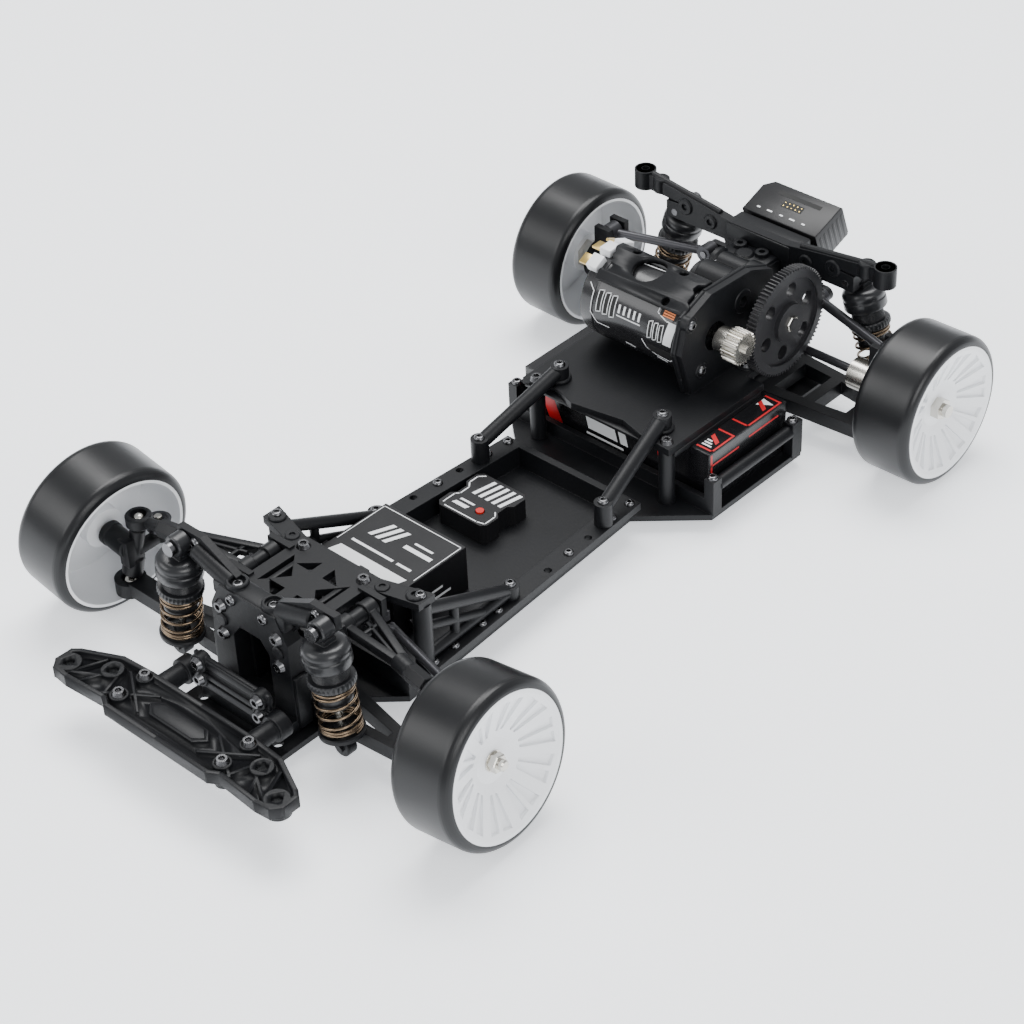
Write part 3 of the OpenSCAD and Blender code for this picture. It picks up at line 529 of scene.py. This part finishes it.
def make_labels():
    f = FRONT_AXLE
    form = bmesh.new()
    z = 26.56
    x0, x1, y0, y1 = -28.6, 10.6, f + 45, f + 79.5
    frame_line(form, [(x0, y0 + 10), (x0, y1), (x1, y1), (x1, y0 + 10)], 0.35, z)
    level_bar(form, -27, 6.5, f + 47, f + 53.4, z, 2)
    level_bar(form, -24, -3, f + 57.4, f + 58.6, z)
    level_bar(form, -1, 6, f + 57.4, f + 58.6, z)
    for k in range(3):
        level_bar(form, -22 + 3.6 * k, -20 + 3.6 * k, f + 64, f + 73.5, z, 4)
    level_bar(form, -6, 7.5, f + 66, f + 68, z)
    level_bar(form, -4, 5, f + 70, f + 71, z)
    side = 11.56
    side_bar(form, f + 50, f + 54, 12.5, 20, side, 2.5)
    side_bar(form, f + 58, f + 72, 12.5, 13.6, side)
    side_bar(form, f + 58, f + 68, 16, 17, side)
    z = 16.06
    for k in range(5):
        level_bar(form, -19.4 + 3.3 * k, -17.7 + 3.3 * k, f + 116, f + 126.4, z, 2)
    frame_line(form, [(-24, f + 105.4), (-24, f + 111.6), (-22.6, f + 113), (-22.6, f + 118),
                      (-24.6, f + 120.4), (-24.6, f + 125), (-22.4, f + 127)], 0.5, z)
    frame_line(form, [(-22, f + 104), (-5.6, f + 104), (-2.2, f + 104.9), (-2.2, f + 110.6),
                      (-4, f + 112.6)], 0.5, z)
    level_bar(form, -21.5, -14.6, f + 107.2, f + 109, z, 0.8)
    level_bar(form, -20.4, -13.4, f + 110.4, f + 111.4, z, 0.4)
    piece("case_labels", form, print_white, "chassis")
    form = bmesh.new()
    for x in (-31, 13):
        tube(form, (x, f + 48.5, 12), (x, f + 49.8, 12), 2.0)
        tube(form, (x, f + 48.5, 21), (x, f + 49.8, 21), 2.0)
    tube(form, (-9, f + 42.95, 16.3), (-9, f + 43.2, 16.3), 6.0)
    block(form, (-28.5, f + 80.8, 14), (-24, f + 81.8, 18), 0.2)
    piece("servo_details", form, case_paint, "chassis")


make_labels()


# ---- Motor --------------------------------------------------------------------------------------
# A 36 mm brushless can in gloss black anodised aluminium. Cooling windows are milled in its wall; here they
# are flat near-black patches, painted shade for the openings, framed with fine white printed lines. The end
# bell carries three white solder blocks.
MOTOR_Y = REAR_AXLE - 43.7
MOTOR_Z = 54.6
CAN_R = 18.0
SOLDER_ANGLES = (62, 88, 114)
motor_black = finish("motor_black", (0.013, 0.013, 0.0145), 0.24, metal=0.25, grain=1800, relief=0.03,
                     edge=0.5, edge_colour=(0.2, 0.2, 0.21), coat=0.25)
# Painted shade: a flat matte near-black finish laid where an opening or slot would show its shaded inside.
painted_opening_shade = finish("painted_opening_shade", (0.004, 0.004, 0.004), 0.7, relief=0.05, edge=0.0)
brass = finish("brass", (0.55, 0.40, 0.14), 0.3, metal=1.0, round_off=0.1)
copper = finish("copper_wire", (0.42, 0.14, 0.06), 0.35, metal=0.8, relief=0.3, grain=1500)


def turned(form, profile, seat, sides=40, rib_depth=0.0, hoop=False):
    """Adds a lathe-turned shape. Profile is (radius, height) pairs; seat places its own axis Z.
    A hoop joins its last edge to its first, so nothing closes its hole."""
    rings = []
    for r, z, *cut in profile:
        ring = []
        for k in range(sides):
            a = 2 * math.pi * k / sides
            rr = r - (rib_depth if cut and k % 2 else 0)
            ring.append(form.verts.new(seat @ (Vector((rr * math.cos(a), rr * math.sin(a), z)) * MM)))
        rings.append(ring)
    for a, b in zip(rings, rings[1:] + ([rings[0]] if hoop else [])):
        for k in range(sides):
            form.faces.new((a[k], a[(k + 1) % sides], b[(k + 1) % sides], b[k]))
    if not hoop:
        form.faces.new(list(reversed(rings[0])))
        form.faces.new(rings[-1])
    return form


def on_can(x, degrees, r=CAN_R):
    """A point on the can: degrees are counted from the car's front, over the top."""
    a = math.radians(degrees)
    return at(x, MOTOR_Y - r * math.cos(a), MOTOR_Z + r * math.sin(a))


def stroke(form, points, width, r=18.04, closed=False):
    """A printed line on the can, given as (x, degrees) corners."""
    if closed:
        points = list(points) + [points[0]]
    for (x0, d0), (x1, d1) in zip(points, points[1:]):
        arc = math.radians(d1 - d0) * CAN_R
        run = math.hypot(x1 - x0, arc)
        if run == 0:
            continue
        ux, ud = (x1 - x0) / run, arc / run
        count = max(1, int(abs(d1 - d0) / 4))
        pad = width / 2
        rows = []
        for k in range(count + 1):
            t = -pad + (run + 2 * pad) * k / count
            for s in (-1, 1):
                x = x0 + ux * t - ud * s * pad
                d = d0 + math.degrees((ud * t + ux * s * pad) / CAN_R)
                rows.append(form.verts.new(on_can(x, d, r)))
        for k in range(count):
            form.faces.new((rows[2 * k], rows[2 * k + 1], rows[2 * k + 3], rows[2 * k + 2]))


def patch(form, x0, x1, d0, d1, r, slant=0.0):
    """A printed or sunken area of the can, between two lengths and two angles."""
    count = max(2, int(abs(d1 - d0) / 4))
    rows = []
    for k in range(count + 1):
        d = d0 + (d1 - d0) * k / count
        shift = slant * k / count
        rows.append((form.verts.new(on_can(x0 + shift, d, r)), form.verts.new(on_can(x1 + shift, d, r))))
    for a, b in zip(rows, rows[1:]):
        form.faces.new((a[0], a[1], b[1], b[0]))


def make_motor():
    axis = Matrix.Translation(at(0, MOTOR_Y, MOTOR_Z)) @ Matrix.Rotation(math.radians(90), 4, "Y")
    form = bmesh.new()
    turned(form, [(7, -34.0), (16.2, -34.0), (17.4, -33.0), (17.9, -27.0), (17.6, -26.6), (17.6, -26.0),
                  (CAN_R, -25.6), (CAN_R, 11.8), (17.7, 12.0), (17.7, 12.4), (CAN_R, 12.6), (CAN_R, 15.4),
                  (17.6, 16.2), (16.6, 16.9), (9, 16.9)], axis, 96)
    turned(form, [(6.4, -33.6), (6, -33.8), (6, -34.2)], axis, 32)
    piece("motor_can", form, motor_black, "chassis", "motor")
    form = bmesh.new()
    for x in (-24.6, -21.2, -17.8):
        stroke(form, [(x, 6), (x, 34), (x + 2.2, 36), (x + 2.2, 8)], 0.34, closed=True)
    for x in (1.6, 4.2, 6.8):
        stroke(form, [(x, 2), (x, 24), (x + 1.7, 26), (x + 1.7, 4)], 0.34, closed=True)
    stroke(form, [(-30, 38), (-27.2, 30), (-27.2, 2), (-24, -10), (-18, -10)], 0.4)
    stroke(form, [(-1, -4), (1, -14), (5, -20), (12, -22), (15, -14)], 0.5)
    stroke(form, [(4, 46), (4, 38), (9, 32), (14, 32)], 0.4)
    stroke(form, [(-22, 80), (-16, 92), (-2, 96), (8, 112), (12, 112)], 0.5)
    stroke(form, [(-20, 104), (-12, 112), (4, 118)], 0.4)
    for k in range(5):
        stroke(form, [(-13.4 + 2.5 * k, 18), (-13.4 + 2.5 * k, 26)], 1.0)
    stroke(form, [(-14, 13), (-2.6, 13)], 0.5)
    patch(form, 9.2, 13.2, 2, 32, 18.05, 1.2)
    patch(form, -8, -3.6, 50, 58, 18.05, 1.0)
    for x in (-10, 6):
        stroke(form, [(x, -24), (x + 4, -26)], 0.8)
    piece("motor_print", form, print_white, "chassis")
    form = bmesh.new()
    # Flat near-black patches on the can wall: painted shade standing in for the cooling window openings.
    for x in (-24.2, -20.8, -17.4):
        patch(form, x, x + 1.5, 8, 34, 18.03)
    for x in (1.95, 4.55, 7.15):
        patch(form, x, x + 1.1, 4, 24, 18.03)
    patch(form, 1.6, 13.5, -18, -6, 18.03)
    patch(form, 5, 13.5, 36, 50, 18.03)
    piece("motor_window_shade", form, painted_opening_shade, "chassis")
    form = bmesh.new()
    for k in range(7):
        d = 38 + k * 1.6
        stroke(form, [(7, d), (11.5, d)], 0.9, 18.06)
    piece("motor_coils", form, copper, "chassis")
    form = bmesh.new()
    for d in SOLDER_ANGLES:
        c = on_can(-32.5, d, 18.6)
        turn = Matrix.Rotation(math.radians(90 - d), 3, "X")
        block(form, (-34.5, c.y / MM - 3.2, c.z / MM - 1.9), (-29.0, c.y / MM + 3.2, c.z / MM + 1.9),
              0.5, turn, c)
    piece("motor_solder_blocks", form, print_white, "chassis")
    form = bmesh.new()
    for d in SOLDER_ANGLES:
        c = on_can(-36.2, d, 18.4)
        turn = Matrix.Rotation(math.radians(90 - d), 3, "X")
        block(form, (-39.0, c.y / MM - 2.4, c.z / MM - 0.5), (-33.5, c.y / MM + 2.4, c.z / MM + 0.5),
              0.15, turn, c)
    piece("motor_tabs", form, brass, "chassis")


make_motor()


def make_motor_strap():
    """The nylon strap over the can, bored with four small holes and one large opening."""
    form = bmesh.new()
    rows = []
    for k in range(15):
        d = 44 + k * 4.2
        wide = 3.2 if 3 < k < 11 else 5.5
        mid = -10 if k < 8 else -12
        low, high = on_can(0, d, 18.4), on_can(0, d, 21.0)
        left, right = mid - 12 - wide, mid + 22 + wide
        rows.append([form.verts.new(Vector((x * MM, p.y, p.z)))
                     for p, x in ((low, left), (high, left), (high, right), (low, right))])
    for a, b in zip(rows, rows[1:]):
        for k in range(4):
            form.faces.new((a[k], a[(k + 1) % 4], b[(k + 1) % 4], b[k]))
    form.faces.new(rows[0])
    form.faces.new(list(reversed(rows[-1])))
    bmesh.ops.bevel(form, geom=form.edges[:], offset=0.5 * MM, segments=2, affect="EDGES", profile=0.5)
    mesh = cast("motor_strap", form)
    holes = []
    for x, d, r in ((-25, 62, 2.0), (6.5, 52, 1.9), (-9, 80, 7.0), (-20, 96, 2.0), (4, 94, 2.0)):
        inside, outside = on_can(x, d, 14) / MM, on_can(x, d, 25) / MM
        holes.append((tuple(inside), tuple(outside), r))
    piece("motor_strap", drilled(mesh, holes), nylon, "chassis")


make_motor_strap()


# ---- Rear frame: deck, gearbox case and tower ------------------------------------------------
# The deck plate, the upright motor plate, the split gearbox case and the tower with its two
# wing arms are separate nylon mouldings, ribbed and bossed wherever a screw goes in.
coat_nodes(nylon, "motor_mount_deck", "gearbox_case", "rear_tower")


def make_rear_frame_details():
    r = REAR_AXLE
    form = bmesh.new()
    tube(form, (-10.5, r - 5, 57.5), (9.5, r - 5, 57.5), 5.2, lip=0.8)
    tube(form, (-10.8, r - 5, 57.5), (-7.5, r - 5, 57.5), 6.2, lip=0.8)
    tube(form, (5.5, r - 5, 57.5), (10.8, r - 5, 57.5), 6.4, lip=0.8)
    tube(form, (-9.5, r - 15.2, 56), (6, r - 15.2, 56), 7.4, lip=1.0)
    tube(form, (-1, r + 1, 58), (-1, r + 1, 62.4), 4.6, 4.0, lip=0.8)
    block(form, (-10.5, r - 3, 57), (10.5, r + 8, 61.4), 0.9)
    for x in (-6, 5):
        tube(form, (x, r + 4.5, 60), (x, r + 4.5, 63.4), 2.8, inner=1.3)
    for x in (-10.4, -3.4, 3.6, 10.4):
        block(form, (x - 0.5, r - 13.5, 44), (x + 0.5, r + 7.6, 59.4), 0.2)
    piece("gearbox_bosses", form, nylon, "chassis")
    form = bmesh.new()
    for s in (-1, 1):
        tube(form, (s * 60, r + 10.3, 66.9), (s * 60, r + 10.3, 75), 4.5, inner=1.7, lip=0.6)
        tube(form, (s * 51.5, r + 10.3, 67.4), (s * 51.5, r + 10.3, 73.9), 3.4, inner=1.2, lip=0.5)
        tube(form, (s * 37, r + 7.2, 66.4), (s * 37, r + 13, 66.4), 3.6, inner=1.4, lip=0.5)
        tube(form, (s * 24, r + 7.2, 64.2), (s * 24, r + 13, 64.2), 3.2, inner=1.4, lip=0.5)
        tube(form, (s * 20, r + 10, 69.2), (s * 56, r + 10, 74), 1.3, lip=0.3, sides=16)
        tube(form, (s * 20, r + 10, 61), (s * 52, r + 10, 68), 1.1, lip=0.3, sides=16)
    block(form, (-16, r + 7.4, 60), (16, r + 12.6, 67.6), 0.8)
    block(form, (-17.5, r + 12, 62), (17.5, r + 20, 66.6), 0.9)
    piece("tower_bosses", form, nylon, "chassis")
    form = bmesh.new()
    rim = [(r - 58, 35), (r - 60, 42), (r - 64, 55), (r - 60, 68.6), (r - 46, 74), (r - 22, 73),
           (r - 9, 67.6), (r - 7.4, 56), (r - 8.4, 42.2), (r - 27, 35)]
    for a, b in zip(rim, rim[1:]):
        tube(form, (16.6, *a), (16.6, *b), 1.1, lip=0.2, sides=14)
    for y, z, rad in ((r - 58, 66.5, 3.4), (r - 52, 43, 3.4), (r - 24, 41, 3.2), (r - 27, 62, 5.2)):
        tube(form, (16.2, y, z), (20.9, y, z), rad, inner=rad * 0.42, lip=0.4)
    block(form, (-37, r - 90, 30.6), (36, r - 86.8, 31.9), 0.3)
    for s in (-1, 1):
        block(form, (s * 36.5 - 1, r - 88, 29.6), (s * 36.5 + 1, r - 36, 31.7), 0.3)
        tube(form, (s * 26, r - 81.6, 34.3), (s * 26, r - 81.6, 36), 4.6, lip=0.5)
        tube(form, (s * 24, r - 28.5, 34.3), (s * 24, r - 28.5, 34.9), 4.4, lip=0.3)
    piece("motor_plate_rim", form, nylon, "chassis")


make_rear_frame_details()


# ---- Speed control -----------------------------------------------------------------------------
# A finned aluminium case in satin black, one corner cut away, tilted on the tower shelf. Its face has a card
# slot and a two-row pin header, their recesses drawn as flat near-black patches of painted shade, and plain
# white dashes beside the wire exits.
def make_speed_control():
    seat = Matrix.Translation(at(0, 156.6, 66.9)) @ Matrix.Rotation(math.radians(19.5), 4, "X")

    def seated(form):
        bmesh.ops.transform(form, matrix=seat, verts=form.verts)
        return form

    form = bmesh.new()
    slab(form, [(-18.4, 0.1), (18.4, 0.1), (18.4, 17.9), (-14.6, 17.9), (-18.4, 14.2)], -15.9, -0.05, 0.35)
    for k in range(12):
        block(form, (-13.6 + 2.8 * k - 0.7, 17.6, -15.6), (-13.6 + 2.8 * k + 0.7, 18.9, -1.6), 0.15)
    for k in range(6):
        block(form, (17.9, 2 + 2.8 * k, -15.6), (18.5, 3.3 + 2.8 * k, -3), 0.12)
    piece("speed_control_case", seated(form), case_paint, "chassis", "speed_control")
    form = bmesh.new()
    # The card slot and the well round the pin header are flat near-black patches: painted shade for the
    # recesses.
    for a, b in (((-9.5, 12.6), (11.5, 14.6)), ((-4.6, 7.6), (5.4, 11))):
        flat_print(form, [(a[0], a[1], 0), (b[0], a[1], 0), (b[0], b[1], 0), (a[0], b[1], 0)])
    piece("speed_control_slot_shade", seated(form), painted_opening_shade, "chassis")
    form = bmesh.new()
    for k in range(5):
        for row in (8.4, 10.1):
            block(form, (-3.9 + 2 * k, row - 0.25, -0.1), (-3.4 + 2 * k, row + 0.25, 0.12), 0)
    piece("speed_control_pins", seated(form), brass, "chassis")
    form = bmesh.new()
    for x, w in ((-12.5, 0.8), (-7, 1.3), (-1.2, 0.8), (4.2, 1.3), (9.8, 0.8)):
        flat_print(form, [(x - w, 3.2, 0.01), (x + w, 3.2, 0.01), (x + w, 3.9, 0.01), (x - w, 3.9, 0.01)])
    piece("speed_control_marks", seated(form), print_white, "chassis")


make_speed_control()


# ---- Gears ------------------------------------------------------------------------------------
# The pinion is cut from bright steel and grub-screwed to the motor shaft. The spur gear is a
# moulded black acetal, and the final gear and steering rack are oiled steel.
bright_steel = finish("bright_steel", (0.60, 0.58, 0.53), 0.26, metal=1.0, grain=1800, relief=0.05,
                      edge=0.5, edge_colour=(0.85, 0.83, 0.78), round_off=0.12)
gear_black = finish("gear_black", (0.014, 0.014, 0.016), 0.42, grain=1200, relief=0.1, round_off=0.12)
dark_steel = finish("dark_steel", (0.05, 0.05, 0.055), 0.32, metal=0.6, round_off=0.2)
coat_nodes(bright_steel, "pinion_gear")
coat_nodes(gear_black, "spur_gear")
coat_nodes(dark_steel, "final_gear")
coat_nodes(dark_steel, "steering_rack")

# ---- Wheels, arms and links ----------------------------------------------------------------------
# Hard slick drift tyres in smooth black plastic are pressed on white moulded rims. Arms and hub
# carriers are nylon, the axles and ball studs bright steel, and the links darkened steel rod.
tyre_black = finish("tyre_black", (0.0048, 0.0051, 0.006), 0.33, grain=2600, relief=0.05, mottle=0.1,
                    edge=0.1, round_off=0.6, sheen=0.36)
rim_white = finish("rim_white", (0.86, 0.87, 0.885), 0.38, grain=1400, relief=0.04, mottle=0.015,
                   edge=0.0, round_off=0.3)
bronze = finish("spring_bronze", (0.19, 0.14, 0.095), 0.25, metal=1.0, round_off=0.1)
for side in ("left", "right"):
    f, r = "front_" + side + "_", "rear_" + side + "_"
    coat_nodes(tyre_black, f + "tyre", r + "tyre")
    coat_nodes(rim_white, f + "wheel", r + "wheel")
    coat_nodes(nylon, f + "lower_arm", r + "lower_arm", r + "hub_carrier")
    coat_nodes(bright_steel, f + "ball_stud", r + "axle")
    coat_nodes(dark_steel, f + "tie_rod", r + "upper_link", r + "drive_shaft")

# ---- Front upper arms ------------------------------------------------------------------------
# Each is a slotted A-shaped nylon arm with a hexagon turnbuckle block and a screwed ball ring,
# which floats round the kingpin ball.
def make_upper_arm(s, side):
    f = FRONT_AXLE
    body = "front_" + side + "_upper_arm"
    form = bmesh.new()

    def bar(a, b, half, z0=41.2, z1=44.8):
        a, b = Vector((s * a[0], f + a[1])), Vector((s * b[0], f + b[1]))
        n = Vector((-(b - a).y, (b - a).x)).normalized() * half
        slab(form, [tuple(a + n), tuple(b + n), tuple(b - n), tuple(a - n)], z0, z1, 0.35)

    bar((25.5, 8), (54, 6.4), 1.5)
    bar((25.5, 20), (54, 8.2), 1.5)
    bar((30, 14), (50, 7.6), 0.7, 41.8, 44.2)
    bar((33.5, 8.6), (33.5, 16), 0.8, 41.8, 44.2)
    tube(form, (s * 24.5, f + 5.8, 43), (s * 24.5, f + 11, 43), 3.7, inner=1.56)
    tube(form, (s * 24.5, f + 17, 43), (s * 24.5, f + 22.2, 43), 3.7, inner=1.56)
    tube(form, (s * 24.5, f + 10.8, 43), (s * 24.5, f + 17.2, 43), 2.7, inner=1.56)
    tube(form, (s * 51, f + 7.6, 42.6), (s * 58, f + 6.4, 42.2), 3.3, sides=16)
    tube(form, (s * 57.4, f + 6.5, 42.2), (s * 67, f + 5.2, 41.7), 3.5, sides=6, lip=0.3)
    tube(form, (s * 66.4, f + 5.3, 41.7), (s * 73, f + 4.5, 41.3), 2.3, 2.1, sides=20)
    tube(form, (s * 77.6, f + 4, 38.6), (s * 77.6, f + 4, 43.4), 5, inner=3.15, sides=36, lip=0.6)
    piece(body + "_moulding", form, nylon, body, body)


for s, side in ((1, "left"), (-1, "right")):
    make_upper_arm(s, side)


# ---- Steering knuckles and front axles ----------------------------------------------------------
# A nylon knuckle clamps the upper kingpin. The stub axle, its nut, the kingpin ball and the
# steering stud are plain turned steel.
def make_knuckle(s, side):
    f = FRONT_AXLE
    body = "front_" + side + "_knuckle"
    ball, top = Vector((83, f, 11)), Vector((77.6, f + 4, 41))
    up = (top - ball).normalized()

    def king(t):
        p = ball + up * t
        return (s * p.x, p.y, p.z)

    def hub(t):
        return (s * (94.8 + 0.99189 * t), f + 0.04157 * t, FRONT_HUB + 0.12013 * t)

    form = bmesh.new()
    tube(form, king(5.5), king(14), 4, inner=1.56, lip=0.5)
    tube(form, king(13.4), king(26.5), 3, lip=0.4)
    tube(form, hub(-15.5), hub(-3), 4.6, lip=0.6)
    tube(form, hub(-6), hub(-3.2), 4.9, lip=0.3)
    block(form, (s * 79 - 2.2, f + 2, 25.6), (s * 79 + 2.2, f + 15.4, 29.4), 0.6)
    tube(form, (s * 79, f + 13.5, 25.5), (s * 79, f + 13.5, 29.6), 3.1, lip=0.4)
    block(form, (s * 80 - 2.6, f - 3.6, 22), (s * 80 + 2.6, f + 4.6, 34), 0.8)
    piece(body + "_moulding", form, nylon, body, body)
    form = bmesh.new()
    tube(form, hub(-4), hub(11.4), 2, lip=0.5, sides=28)
    tube(form, hub(6.2), hub(9.3), 3.5, sides=6, lip=0.4)
    tube(form, hub(5.95), hub(6.3), 3.9, lip=0.1)
    tube(form, king(26), king(30), 1.3)
    bmesh.ops.create_uvsphere(form, u_segments=24, v_segments=14, radius=2.4 * MM,
                              matrix=Matrix.Translation(at(s * top.x, top.y, top.z)))
    tube(form, (s * 79, f + 13.5, 29), (s * 79, f + 13.5, 36.4), 1.5)
    piece(body + "_axle", form, bright_steel, body, body)


for s, side in ((1, "left"), (-1, "right")):
    make_knuckle(s, side)


# ---- Gear nut and front tower bar ------------------------------------------------------------------
# The spur gear is held by a bright locknut. The front tower carries a round-ended bar across
# the shock eyes, with two sunk screws in its flat.
def make_small_parts():
    y, z = REAR_AXLE - 15.2, 52
    form = bmesh.new()
    tube(form, (34.9, y, z), (36.4, y, z), 3.4, sides=6, lip=0.3)
    tube(form, (36.2, y, z), (36.9, y, z), 2.3, lip=0.2)
    tube(form, (33.6, y, z), (35.1, y, z), 4.2, lip=0.2)
    piece("spur_nut", form, bright_steel, "spur_gear")
    f = FRONT_AXLE
    form = bmesh.new()
    block(form, (-18, f - 12.6, 48.5), (18, f - 4.4, 54.6), 1.2)
    for s in (-1, 1):
        tube(form, (s * 12, f - 8.4, 53.2), (s * 29.6, f - 8.4, 59), 3.5, lip=0.6)
        tube(form, (s * 9, f - 8.5, 52), (s * 9, f - 8.5, 56), 4.2, inner=3.0, lip=0.4)
        block(form, (s * 19.6 - 1.4, f - 12.6, 8), (s * 19.6 + 1.4, f - 6.6, 30), 0.5)
        tube(form, (s * 14, f - 13.9, 39), (s * 14, f - 6.6, 39), 2.6, lip=0.5)
        tube(form, (s * 15, f + 27.3, 43), (s * 15, f + 27.3, 45.9), 3.8, lip=0.3)
        tube(form, (s * 34.5, f + 33, 42.8), (s * 34.5, f + 33, 46.9), 3.4, inner=1.4, lip=0.4)
        tube(form, (s * 22.5, f + 29, 42.8), (s * 22.5, f + 29, 46.6), 2.8, inner=1.2, lip=0.3)
        block(form, (s * 11.3 - 1.1, f - 6, 40), (s * 11.3 + 1.1, f + 25, 45.6), 0.4)
    piece("front_tower_bar", form, nylon, "chassis")
    form = bmesh.new()
    for s in (-1, 1):
        button_head(form, (s * 9, f - 8.5, 53.6), (0, 0, 1), 2.6)
    piece("tower_bar_screws", cast("tower_bar_screws", form, 50), oiled_steel, "chassis")


make_small_parts()


# ---- Shock absorbers -------------------------------------------------------------------------
# Each shock is a black plastic cylinder with a ribbed preload ring and a domed cap whose eye
# takes the tower screw. The bronze-coated music-wire spring sits between ring and lower cup,
# closed at both ends, and the polished shaft ends in a moulded ball eye on the lower arm.
def seat_between(top, low):
    """A seat at the top eye whose -Z runs down the shaft; its Y stays along the car."""
    down = (low - top).normalized()
    z, y = -down, Vector((0, 1, 0))
    x = y.cross(z).normalized()
    return Matrix(((x.x, y.x, z.x, top.x), (x.y, y.y, z.y, top.y), (x.z, y.z, z.z, top.z), (0, 0, 0, 1)))


def wound(name, seat, top, bottom, radius, wire, turns):
    """A compression spring wound as one wire, its end coils lying closed."""
    closed, closed_low, sides, step = 1.3, 2.6, 8, 26
    total = turns + closed + closed_low
    count = int(total * step)
    pitch_closed = wire * 2.02
    free = (top - bottom) - pitch_closed * (closed + closed_low)
    form, rings = bmesh.new(), []

    def height(t):
        if t < closed_low:
            return bottom + wire + t * pitch_closed
        if t > total - closed:
            return top - wire - (total - t) * pitch_closed
        return bottom + wire + closed_low * pitch_closed + (t - closed_low) / turns * (free - 2 * wire)

    around = 2 * math.pi / step
    path = [Vector((radius * math.cos(i * around), radius * math.sin(i * around), height(i / step)))
            for i in range(count + 1)]
    for i, p in enumerate(path):
        run = (path[min(i + 1, count)] - path[max(i - 1, 0)]).normalized()
        out = Vector((p.x, p.y, 0)).normalized()
        up = run.cross(out).normalized()
        rings.append([form.verts.new(seat @ ((p + (out * math.cos(a) + up * math.sin(a)) * wire) * MM))
                      for a in (2 * math.pi * k / sides for k in range(sides))])
    for a, b in zip(rings, rings[1:]):
        for k in range(sides):
            form.faces.new((a[k], a[(k + 1) % sides], b[(k + 1) % sides], b[k]))
    form.faces.new(list(reversed(rings[0])))
    form.faces.new(rings[-1])
    return cast(name, form, 80)


shock_black = finish("shock_black", (0.011, 0.0115, 0.013), 0.30, grain=700, relief=0.12,
                     round_off=0.4, sheen=0.45)


def make_shock(prefix, top, low):
    length = (low - top).length / MM
    seat = seat_between(top, low)
    body, shaft = prefix + "_shock_body", prefix + "_shock_rod"
    form = bmesh.new()
    ring = Matrix.Rotation(math.radians(90), 4, "X")
    turned(form, [(2.0, -2.9), (3.6, -2.9), (4.1, -2.4), (4.1, 2.4), (3.6, 2.9), (2.0, 2.9)], seat @ ring, 24)
    stem = [(-3.4, -3), (-2.6, -7), (2.6, -7), (3.4, -3)]
    rows = [[form.verts.new(seat @ Vector((x * MM, y * MM, z * MM))) for x, z in stem] for y in (-2.6, 2.6)]
    for k in range(4):
        form.faces.new((rows[0][k], rows[0][(k + 1) % 4], rows[1][(k + 1) % 4], rows[1][k]))
    form.faces.new(rows[0])
    form.faces.new(list(reversed(rows[1])))
    turned(form, [(6.3, -14.4), (8.1, -14.0), (8.6, -13.2), (8.6, -10.2), (8.3, -9.8), (8.3, -9.2),
                  (8.6, -8.6), (8.5, -7.4), (7.8, -6.0), (6.4, -5.2), (4.2, -5.0)], seat, 48)
    turned(form, [(2.2, -31.5), (3.6, -31.4), (3.8, -30.8), (5.2, -30.6), (6.2, -30.0), (6.2, -14.0)],
           seat, 40)
    for k in range(9):
        z = -14.6 - k * 0.55
        turned(form, [(6.1, z - 0.42), (6.45, z - 0.28), (6.45, z - 0.14), (6.1, z)], seat, 40, hoop=True)
    turned(form, [(6.3, -21.9), (8.0, -21.8), (8.5, -21.2, 1), (8.5, -19.4, 1), (8.0, -18.9), (6.3, -18.9)],
           seat, 72, rib_depth=0.45, hoop=True)
    piece(prefix + "_shock_cylinder", form, shock_black, body,
          body)
    coil = wound(prefix + "_coil_spring", seat, -22.0, -length + 7.5, 7.2, 0.55, 3.4)
    spring = bpy.data.objects.new(prefix + "_coil_spring", coil)
    bpy.context.collection.objects.link(spring)
    coil.materials.append(bronze)
    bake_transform(spring)
    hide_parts(prefix + "_shock_spring")
    form = bmesh.new()
    turned(form, [(1.45, -length + 5), (1.45, -24.2)], seat, 24)
    piece(prefix + "_shock_shaft", form, bright_steel, shaft,
          prefix + "_shock_rod")
    form = bmesh.new()
    turned(form, [(2.6, -length + 3.2), (2.6, -length + 5.2), (7.6, -length + 5.3), (8.3, -length + 5.7),
                  (8.3, -length + 7.0), (7.9, -length + 7.4), (3.0, -length + 7.4), (2.4, -length + 8.6),
                  (1.6, -length + 9.0)], seat, 48)
    bottom = seat @ Matrix.Translation((0, 0, -length * MM)) @ ring
    turned(form, [(2.2, -2.3), (3.3, -2.3), (3.7, -1.9), (3.7, 1.9), (3.3, 2.3), (2.2, 2.3)], bottom, 24)
    piece(prefix + "_shock_cup", form, nylon, shaft,
          prefix + "_shock_rod")


for s, side in ((1, "left"), (-1, "right")):
    make_shock("front_" + side, at(s * 35.5, FRONT_AXLE - 11, 60), at(s * 41.5, FRONT_AXLE - 11, 12))
    make_shock("rear_" + side, at(s * 43, REAR_AXLE + 17.5, 61.5), at(s * 57, REAR_AXLE + 17.5, 15))
